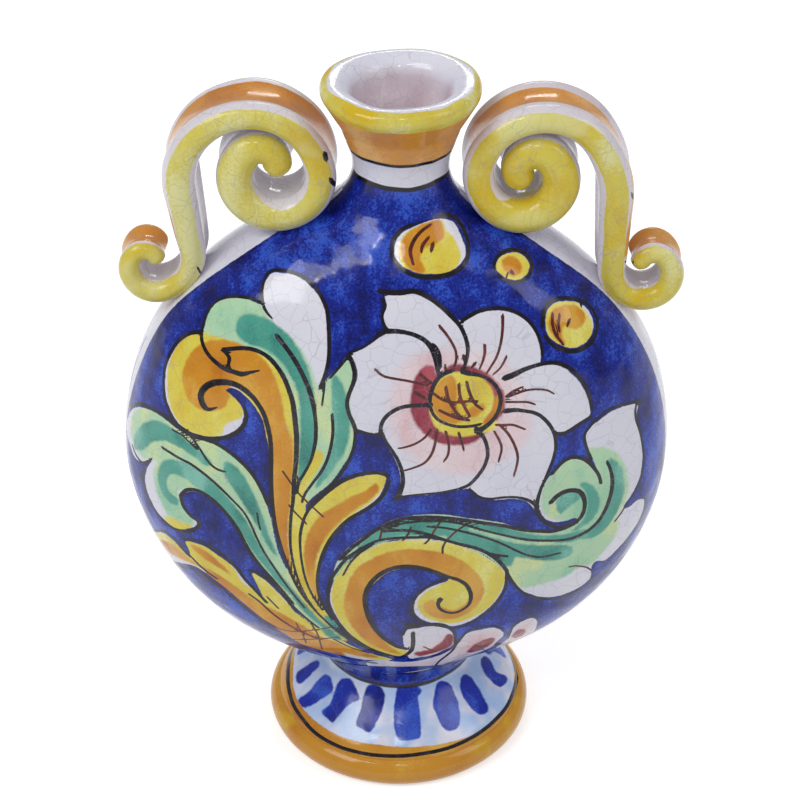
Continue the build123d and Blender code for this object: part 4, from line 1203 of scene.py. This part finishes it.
def paintStrap(piece, dabs):
    p = readPoints(piece.data) / mm
    share, gap = lineGaps(toPhoto(p), dabs, samePlace, paintGrid["pixelsPerMm"])
    away = np.where(p[:, 1] > strapDabs["frontTo"], offShare, 0)
    storeStroke(piece.data, "black", share, gap + away)


paintFront(frontBody)
paintFoot(footCone)
paintFoot(footRing)
paintStrap(leftStrap, strapDabs["left"])
paintStrap(rightStrap, strapDabs["right"])
print("painted the ornament")


# the nodes that follow go into this tree
current = {}


def startTree(owner):
    owner.use_nodes = True
    current["tree"] = owner.node_tree


def addNode(kind, **settings):
    node = current["tree"].nodes.new("ShaderNode" + kind)
    for name, value in settings.items():
        setattr(node, name, value)
    return node


def feed(socket, value):
    if isinstance(value, bpy.types.NodeSocket):
        current["tree"].links.new(value, socket)
    elif isinstance(value, tuple) and len(value) == 3 and socket.type == "RGBA":
        socket.default_value = (*value, 1)
    else:
        socket.default_value = value


def maths(operation, a, b=0.0):
    node = addNode("Math", operation=operation)
    feed(node.inputs[0], a)
    feed(node.inputs[1], b)
    return node.outputs[0]


def times(a, b):
    return maths("MULTIPLY", a, b)


def plus(a, b):
    return maths("ADD", a, b)


def minus(a, b):
    return maths("SUBTRACT", a, b)


def vectorMaths(operation, *values):
    node = addNode("VectorMath", operation=operation)
    for socket, value in zip(node.inputs, values):
        feed(socket, value)
    return node.outputs["Value" if operation == "LENGTH" else "Vector"]


def objectPlace():
    return addNode("TexCoord").outputs["Object"]


def alongAxis(axis):
    parts = addNode("SeparateXYZ")
    feed(parts.inputs[0], objectPlace())
    return parts.outputs[axis]


def noise(scale, detail=2.0, roughness=0.5, shift=(0, 0, 0), stretch=(1, 1, 1)):
    place = addNode("Mapping")
    feed(place.inputs["Location"], shift)
    feed(place.inputs["Scale"], stretch)
    feed(place.inputs["Vector"], objectPlace())
    node = addNode("TexNoise")
    feed(node.inputs["Vector"], place.outputs["Vector"])
    feed(node.inputs["Scale"], scale)
    feed(node.inputs["Detail"], detail)
    feed(node.inputs["Roughness"], roughness)
    return node.outputs["Fac"]


# a value made uneven by a noise of this amount
def shaken(value, amount, *grain):
    return plus(value, times(minus(noise(*grain), 0.5), amount))


def ramp(value, low, high, start=0.0, end=1.0):
    node = addNode("MapRange", interpolation_type="SMOOTHSTEP")
    for socket, amount in zip(node.inputs[:5], (value, low, high, start, end)):
        feed(socket, amount)
    return node.outputs["Result"]


# a strip between two soft edges
def strip(value, rise, fall):
    return times(ramp(value, *rise), ramp(value, *fall))


def blendColour(amount, under, over):
    node = addNode("Mix", data_type="RGBA", blend_type="MIX")
    feed(node.inputs[0], amount)
    feed(node.inputs[6], under)
    feed(node.inputs[7], over)
    return node.outputs[2]


def stored(name):
    return addNode("Attribute", attribute_name=name).outputs["Fac"]


def srgb(red, green, blue):
    return tuple(((c / 255 + 0.055) / 1.055)**2.4 if c > 10 else c / 255 / 12.92 for c in (red, green, blue))


# pigments as they look on the fired glaze: thin, usual, thick
tones = {
    "white": ((236, 235, 242), (229, 228, 238), (219, 218, 232)),
    "warmWhite": ((236, 232, 236), (228, 221, 225), (216, 202, 208)),
    # painted shade: a pinkish grey that stands for the shadow deep in the bore
    "boreShade": ((230, 218, 222), (216, 200, 206), (202, 182, 190)),
    "cobalt": ((48, 88, 202), (14, 36, 146), (6, 13, 88)),
    "footBlue": ((58, 94, 200), (18, 44, 164), (8, 22, 120)),
    "blueTint": ((204, 220, 244), (182, 206, 240), (160, 192, 234)),
    "paleGreen": ((216, 230, 164), (184, 221, 180), (144, 205, 168)),
    "teal": ((132, 198, 178), (82, 166, 146), (44, 128, 116)),
    "yellow": ((238, 231, 128), (230, 213, 80), (222, 191, 52)),
    "paleYellow": ((232, 228, 158), (221, 206, 86), (220, 188, 30)),
    "orange": ((226, 172, 66), (214, 144, 34), (194, 114, 24)),
    "strapOrange": ((236, 184, 112), (220, 150, 62), (196, 122, 40)),
    "ochre": ((222, 172, 70), (208, 146, 42), (188, 116, 32)),
    "pink": ((240, 226, 228), (236, 213, 216), (226, 190, 194)),
    "wine": ((186, 84, 96), (150, 46, 66), (112, 26, 46)),
    "brown": ((122, 50, 36), (88, 32, 28), (56, 20, 22)),
    "black": ((52, 48, 56), (24, 20, 28), (14, 12, 18)),
    "clay": ((214, 186, 160), (200, 170, 142), (176, 144, 118))}
pigments = {name: [srgb(*tone) for tone in three] for name, three in tones.items()}


# noises of the glazes: scale, detail, roughness, shift and stretch
noises = {"grain": (1500.0, 2.0, 0.6), "speckle": (1500.0, 3.0, 0.75), "dry": (1100.0, 2.0, 0.6, (6, 1, 0)),
          "dabs": (95.0, 3.0, 0.6, (2, 2, 0), (1.5, 1, 0.75)), "peel": (140.0, 3.0, 0.6, (2, 5, 1)),
          "fine": (420.0, 2.0, 0.5, (5, 0, 3)), "crackBend": (320.0, 2.0),
          "crackPatch": (85.0, 2.0, 0.5, (1.7, 0, 0)), "lipEdge": (110.0, 1.0),
          "footTint": (120.0, 2.0, 0.5, (0, 0, 7)), "ringThin": (70.0, 3.0, 0.6, (9, 1, 0)),
          "strapEdge": (130.0, 3.0, 0.6, (1, 8, 0)), "beadPale": (75.0, 2.0, 0.5, (3, 0, 9))}


# brushed pigment: pools and thin places at the size of a brush mark
def brushed(name, scale=260.0, seed=0.0, contrast=0.16):
    thin, usual, thick = pigments[name]
    slow = noise(scale * 0.45, 2.0, 0.5, (seed, seed * 0.7, 0), (1, 1, 0.55))
    grain = noise(*noises["grain"], (seed, 0, 0))
    pool = plus(times(slow, 0.78), times(grain, 0.22))
    low = blendColour(ramp(pool, 0.49 - contrast, 0.5), thin, usual)
    return blendColour(ramp(pool, 0.5, 0.54 + contrast), low, thick)


def whiteGround(name="white"):
    return brushed(name, 90.0, 3.1, 0.2)


def inked(amount, colour, ink="black"):
    return blendColour(amount, colour, brushed(ink, 500.0))


# fine cracks in the glaze, cells of 4 to 5 mm
crackle = {"scale": 245.0, "bend": (0.0016, 0.0013, 0.0018), "line": (0.008, 0.03),
           "patch": (0.28, 0.6, 0.25, 1.0), "tint": (0.3, 0.27, 0.33), "strength": 0.3, "depth": 0.02}


def crackLines():
    bent = vectorMaths("MULTIPLY_ADD", noise(*noises["crackBend"]), crackle["bend"], objectPlace())
    cells = addNode("TexVoronoi", feature="DISTANCE_TO_EDGE")
    feed(cells.inputs["Vector"], bent)
    feed(cells.inputs["Scale"], crackle["scale"])
    line = ramp(cells.outputs["Distance"], *crackle["line"], 1.0, 0.0)
    return times(line, ramp(noise(*noises["crackPatch"]), *crackle["patch"]))


def areaMask(name, soft=0.12, waver=0.5, scale=900.0, spread=0.0):
    gap = shaken(stored(name), waver, scale, 2.0, 0.6, (4, 0, 2))
    return ramp(gap, spread - soft, spread + soft, 1.0, 0.0)


def lineMask(name, dry=0.35):
    off = maths("ABSOLUTE", stored(name + "Share"))
    near = ramp(shaken(off, dry, *noises["dry"]), 0.86, 1.14, 1.0, 0.0)
    return times(near, ramp(stored(name + "Gap"), 0.12, 0.3, 1.0, 0.0))


def startGlaze(name):
    material = bpy.data.materials.new(name)
    startTree(material)
    return material


# gloss with a faint orange peel, slow waves of the hand and the cracks just cut in
def finishGlaze(material, colour, cracks=None, gloss=(0.09, 0.22), wave=0.7, waveScale=48.0):
    shader = material.node_tree.nodes["Principled BSDF"]
    feed(shader.inputs["IOR"], 1.47)
    feed(shader.inputs["Specular IOR Level"], 0.4)
    if cracks is not None:
        colour = blendColour(times(cracks, crackle["strength"]), colour, crackle["tint"])
    feed(shader.inputs["Base Color"], colour)
    feed(shader.inputs["Roughness"], ramp(noise(*noises["peel"]), 0.35, 0.7, *gloss))
    slow = noise(waveScale, 2.0, 0.5, (0, 3, 0))
    height = plus(times(slow, wave), times(noise(*noises["fine"]), 0.05))
    if cracks is not None:
        height = minus(height, times(cracks, crackle["depth"]))
    bump = addNode("Bump")
    feed(bump.inputs["Strength"], 0.5)
    feed(bump.inputs["Distance"], 0.0011)
    feed(bump.inputs["Height"], height)
    feed(shader.inputs["Normal"], bump.outputs["Normal"])
    return material


def heightOf(wobble, scale):
    return shaken(alongAxis("Z"), wobble, scale, 2.0)


# cobalt laid on in short dabs, speckled where it is thin
def cobaltGround():
    thin, usual, thick = pigments["cobalt"]
    amount = plus(times(noise(*noises["dabs"]), 0.55), times(noise(*noises["speckle"]), 0.45))
    low = blendColour(ramp(amount, 0.5, 0.6), usual, thin)
    return blendColour(ramp(amount, 0.5, 0.41), low, thick)


# where one colour starts or ends, as the two sides of its soft edge: heights, radii and depths in metres
change = {"topLine": (0.1747, 0.1755), "whiteFrom": (0.1768, 0.1765), "blueTo": (0.1757, 0.1751),
          "orangeFrom": (0.1831, 0.1834), "lineFrom": (0.1823, 0.1826), "lineTo": (0.1836, 0.1833),
          "cracksFrom": (0.1768, 0.1773),
          "lipOutside": (0.0177, 0.0182), "lipUnder": (0.1972, 0.1962), "lipPast": (0.0140, 0.0144),
          # the lip's edges, and the radius in the bore where the painted shade begins
          "shadeInBore": (0.0134, 0.0112), "lipOrange": (0.1946, 0.1942),
          "footTop": (0.0230, 0.0234), "seamFrom": (0.0225, 0.0229), "seamTo": (0.0239, 0.0235),
          "bareTo": (0.0011, 0.0006), "frontTo": (0.0002, -0.0008)}


def frontGlaze():
    material = startGlaze("paintedFront")
    cobalt = cobaltGround()
    rim = ramp(stored("cobaltGap"), -1.6, -0.2)
    cobalt = blendColour(times(rim, 0.55), cobalt, pigments["cobalt"][2])
    # a thick line of cobalt, nearly black, ends the ground under the neck
    cobalt = inked(ramp(heightOf(0.0014, 70.0), *change["topLine"]), cobalt)
    colour = whiteGround()
    for name, (soft, waver, spread) in frontColours.items():
        coat = brushed(name, 240.0, soft)
        colour = blendColour(areaMask(name, soft, waver, 700.0, spread), colour, coat)
    colour = blendColour(areaMask("thinBlue", 0.15, 0.3), colour, brushed("footBlue"))
    colour = blendColour(areaMask("cobaltGap", 0.16, 0.5), colour, cobalt)
    colour = inked(lineMask("brown"), colour, "brown")
    colour = inked(lineMask("black"), colour)
    # the cracks show on the white and less on the orange
    onPale = minus(1.0, times(areaMask("orange", 0.2, 0.1), 0.7))
    onWhite = times(onPale, ramp(stored("cobaltGap"), 0, 0.5))
    cracks = times(crackLines(), onWhite)
    return finishGlaze(material, colour, cracks, wave=1.8, waveScale=72.0)


def whiteGlazed():
    material = startGlaze("whiteGlaze")
    return finishGlaze(material, whiteGround(), crackLines())


# the cobalt ends at the sides, as it does on the body
def frontHalf():
    return ramp(alongAxis("Y"), *change["frontTo"])


def neckGlaze():
    material = startGlaze("paintedNeck")
    front = frontHalf()
    z = heightOf(0.0022, 70.0)
    colour = inked(times(ramp(z, *change["whiteFrom"]), front), whiteGround())
    ground = times(ramp(z, *change["blueTo"]), front)
    colour = blendColour(ground, colour, cobaltGround())
    orange = brushed("strapOrange", 160.0, 1.0)
    colour = blendColour(ramp(z, *change["orangeFrom"]), colour, orange)
    colour = inked(strip(z, change["lineFrom"], change["lineTo"]), colour)
    cracks = times(crackLines(), ramp(z, *change["cracksFrom"]))
    return finishGlaze(material, colour, cracks)


# yellow round the roll's outside, white over its crown and down the bore, orange under it, and painted shade
# in pinkish grey deep in the bore
def lipGlaze():
    material = startGlaze("paintedLip")
    centred = vectorMaths("SUBTRACT", objectPlace(), (neck["shift"] * mm, 0, 0))
    radius = vectorMaths("LENGTH", vectorMaths("MULTIPLY", centred, (1, 1, 0)))
    out = shaken(radius, 0.0020, *noises["lipEdge"])
    z = heightOf(0.0016, 80.0)
    below = times(ramp(z, *change["lipUnder"]), ramp(out, *change["lipPast"]))
    coloured = maths("MAXIMUM", ramp(out, *change["lipOutside"]), below)
    # painted shade: the white turns pinkish grey deeper in the bore
    colour = blendColour(ramp(out, *change["shadeInBore"]), whiteGround(), brushed("boreShade"))
    colour = blendColour(coloured, colour, brushed("paleYellow", 170.0, 2.0, 0.1))
    lower = times(ramp(z, *change["lipOrange"]), coloured)
    colour = blendColour(lower, colour, brushed("strapOrange", 160.0, 1.0))
    return finishGlaze(material, colour, crackLines())


def footGlaze():
    material = startGlaze("paintedFoot")
    z = heightOf(0.0012, 60.0)
    tint = ramp(noise(*noises["footTint"]), 0.38, 0.68)
    colour = blendColour(tint, brushed("blueTint", 160.0), whiteGround())
    stripes = brushed("footBlue", 190.0, 5.0, 0.14)
    colour = blendColour(areaMask("stripes", 0.3, 0.7, 500.0), colour, stripes)
    top = ramp(z, *change["footTop"])
    colour = blendColour(top, colour, whiteGround())
    colour = blendColour(times(top, frontHalf()), colour, cobaltGround())
    colour = inked(strip(z, change["seamFrom"], change["seamTo"]), colour)
    ochre = brushed("ochre", 130.0, 6.0)
    colour = blendColour(areaMask("footWhite", 0.2, 0.5, 500.0), ochre, colour)
    colour = inked(lineMask("black"), colour)
    return finishGlaze(material, colour, times(crackLines(), 0.3))


# the ring: orange outside, glaze wiped off where it stands
def ringGlaze():
    material = startGlaze("orangeRing")
    z = heightOf(0.0006, 90.0)
    thin = ramp(noise(*noises["ringThin"]), 0.5, 0.68)
    colour = blendColour(times(thin, 0.6), brushed("ochre", 110.0, 6.0, 0.22),
                         pigments["paleYellow"][2])
    colour = inked(lineMask("black"), colour)
    colour = inked(ramp(z, *change["bareTo"]), colour, "clay")
    return finishGlaze(material, colour, times(crackLines(), 0.3))


# places of the strap's colours, in mm round from the front bead and along the strap
strapPaint = {"beadIn": -3.1, "beadOut": 3.1, "beadOutEye": 5.2, "eyeOver": 14,
              "curlBefore": 8, "curlOver": 6, "curlMore": 1.4, "edge": 0.2,
              "orangeFrom": 4, "orangeTop": 12.0, "endOver": 1.0,
              "cap": (-4.2, -4.7), "backFrom": (18.6, 19.0), "backTo": (21.8, 21.4), "shake": 1.5}


# yellow on the front bead, orange in the outer channel and over the small curl, white between
def strapGlaze(name, h):
    material = startGlaze(name)
    s = strapPaint
    across = shaken(stored("across"), s["shake"], *noises["strapEdge"])
    along = stored("along")
    # towards the scroll's eye the yellow runs over the inner side too
    eyeFrom = h["legEnd"] + h["eyeAfter"]
    curlTo = h["legStart"] - s["curlBefore"]
    inner = ramp(along, eyeFrom, eyeFrom + s["eyeOver"], s["beadIn"], h["eyeInner"])
    outer = ramp(along, eyeFrom, eyeFrom + s["eyeOver"], s["beadOut"], s["beadOutEye"])
    curlEdge = ramp(along, curlTo - s["curlOver"], curlTo, s["curlMore"], 0.0)
    yellow = times(ramp(minus(across, inner), -s["edge"], s["edge"]),
                   ramp(minus(across, plus(outer, curlEdge)), s["edge"], -s["edge"]))
    pale = ramp(noise(*noises["beadPale"]), 0.46, 0.66, 0.0, 0.65)
    bead = blendColour(pale, brushed("paleYellow", 150.0, 4.0, 0.12), pigments["paleYellow"][0])
    colour = blendColour(yellow, whiteGround("warmWhite"), bead)
    # the orange stripe comes nearer to the front down the leg
    orangeFrom = h["legStart"] + s["orangeFrom"]
    orangeTo = h["legEnd"] + h["orangeAfter"]
    centre = ramp(along, orangeFrom, orangeFrom + h["orangeRise"], h["orangeLow"], s["orangeTop"])
    off = maths("ABSOLUTE", minus(across, centre))
    inStripe = ramp(minus(off, h["orangeHalf"]), -s["edge"], s["edge"], 1.0, 0.0)
    over = s["endOver"]
    onLength = strip(along, (orangeFrom, orangeFrom + over), (orangeTo + over, orangeTo))
    cap = times(ramp(along, curlTo + over, curlTo - over), ramp(across, *s["cap"]))
    orange = maths("MAXIMUM", times(inStripe, onLength), cap)
    colour = blendColour(orange, colour, brushed("strapOrange", 150.0, 7.0))
    back = strip(across, s["backFrom"], s["backTo"])
    colour = blendColour(times(back, onLength), colour, pigments["paleYellow"][0])
    colour = inked(lineMask("black"), colour)
    return finishGlaze(material, colour, crackLines())


def clayBody():
    material = startGlaze("bareClay")
    return finishGlaze(material, brushed("clay", 300.0, 1.0, 0.2), gloss=(0.7, 0.85), wave=0.8)


def dress(piece, material, slotName, *nodes):
    piece.data.materials.clear()
    piece.data.materials.append(material)
    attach(piece, "root")
    if nodes:
        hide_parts(*nodes)


dress(frontBody, frontGlaze(), "cobalt_front", "front_shell", "neck_luting", "foot_luting")
dress(backBody, whiteGlazed(), "white_glaze", "back_shell")
dress(neckTube, neckGlaze(), "white_glaze", "neck_tube")
dress(lip, lipGlaze(), "yellow_glaze", "lip_roll")
dress(footCone, footGlaze(), "white_glaze", "foot_cone")
dress(footRing, ringGlaze(), "orange_glaze", "foot_ring")
dress(leftStrap, strapGlaze("leftStrapGlaze", leftHandle), "yellow_glaze", "left_handle",
      "left_scroll_luting", "left_leg_luting")
dress(rightStrap, strapGlaze("rightStrapGlaze", rightHandle), "yellow_glaze", "right_handle",
      "right_scroll_luting", "right_leg_luting")
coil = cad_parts["inner_seam_coil"]
coil.data.materials.clear()
coil.data.materials.append(clayBody())
print("glazed")


# the floor and the world show plain white to the camera, and the floor keeps the flask's shadow
stage = {"world": 0.44, "sky": (0.93, 0.94, 1.0), "floor": (0.88, 0.88, 0.88), "floorSize": 3,
         "roughness": 0.9, "glow": 0.5}

# soft lamps at both sides, and small bright ones that leave the sharp glints on foot, lip and straps:
# place and target in metres, size and power
lamps = {"softboxLeft": ((-0.7, -0.5, 0.95), (0, 0, 0.1), (0.5, 0.5), 4.3),
         "softboxRight": ((0.8, -0.3, 0.8), (0, 0, 0.1), (0.4, 0.6), 2.0),
         "glintFront": ((0.0, -0.50, 0.76), (0, 0, 0.05), (0.07, 0.07), 0.26),
         "glintLeft": ((-0.25, -0.43, 0.76), (0, 0, 0.05), (0.06, 0.06), 0.208),
         "glintRear": ((0.05, 0.75, 0.62), (0, 0, 0.17), (0.35, 0.08), 0.9)}


def seenDirectly():
    path = addNode("LightPath")
    seen = maths("MAXIMUM", path.outputs["Is Camera Ray"], path.outputs["Is Glossy Ray"])
    return maths("MAXIMUM", seen, path.outputs["Is Transmission Ray"])


def makeFloor():
    bm = bmesh.new()
    bmesh.ops.create_grid(bm, x_segments=1, y_segments=1, size=stage["floorSize"])
    floor = newPiece("floor", bm, smooth=False)
    material = bpy.data.materials.new("paleFloor")
    startTree(material)
    shader = material.node_tree.nodes["Principled BSDF"]
    feed(shader.inputs["Base Color"], stage["floor"])
    feed(shader.inputs["Roughness"], stage["roughness"])
    feed(shader.inputs["Specular IOR Level"], 0.0)
    feed(shader.inputs["Emission Color"], (1, 1, 1))
    feed(shader.inputs["Emission Strength"], times(seenDirectly(), stage["glow"]))
    floor.data.materials.append(material)


def addLamp(name, place, target, size, power):
    data = bpy.data.lights.new(name, "AREA")
    data.shape = "RECTANGLE"
    data.size, data.size_y = size
    data.energy = power
    lamp = bpy.data.objects.new(name, data)
    bpy.context.scene.collection.objects.link(lamp)
    lamp.location = place
    lamp.rotation_euler = (Vector(target) - Vector(place)).to_track_quat("-Z", "Y").to_euler()


def lightWorld():
    world = bpy.data.worlds.new("studio")
    bpy.context.scene.world = world
    startTree(world)
    room = world.node_tree.nodes["Background"]
    feed(room.inputs["Color"], stage["sky"])
    camera = addNode("LightPath").outputs["Is Camera Ray"]
    feed(room.inputs["Strength"], ramp(camera, 0, 1, stage["world"], 1.0))


makeFloor()
for name, settings in lamps.items():
    addLamp(name, *settings)
lightWorld()
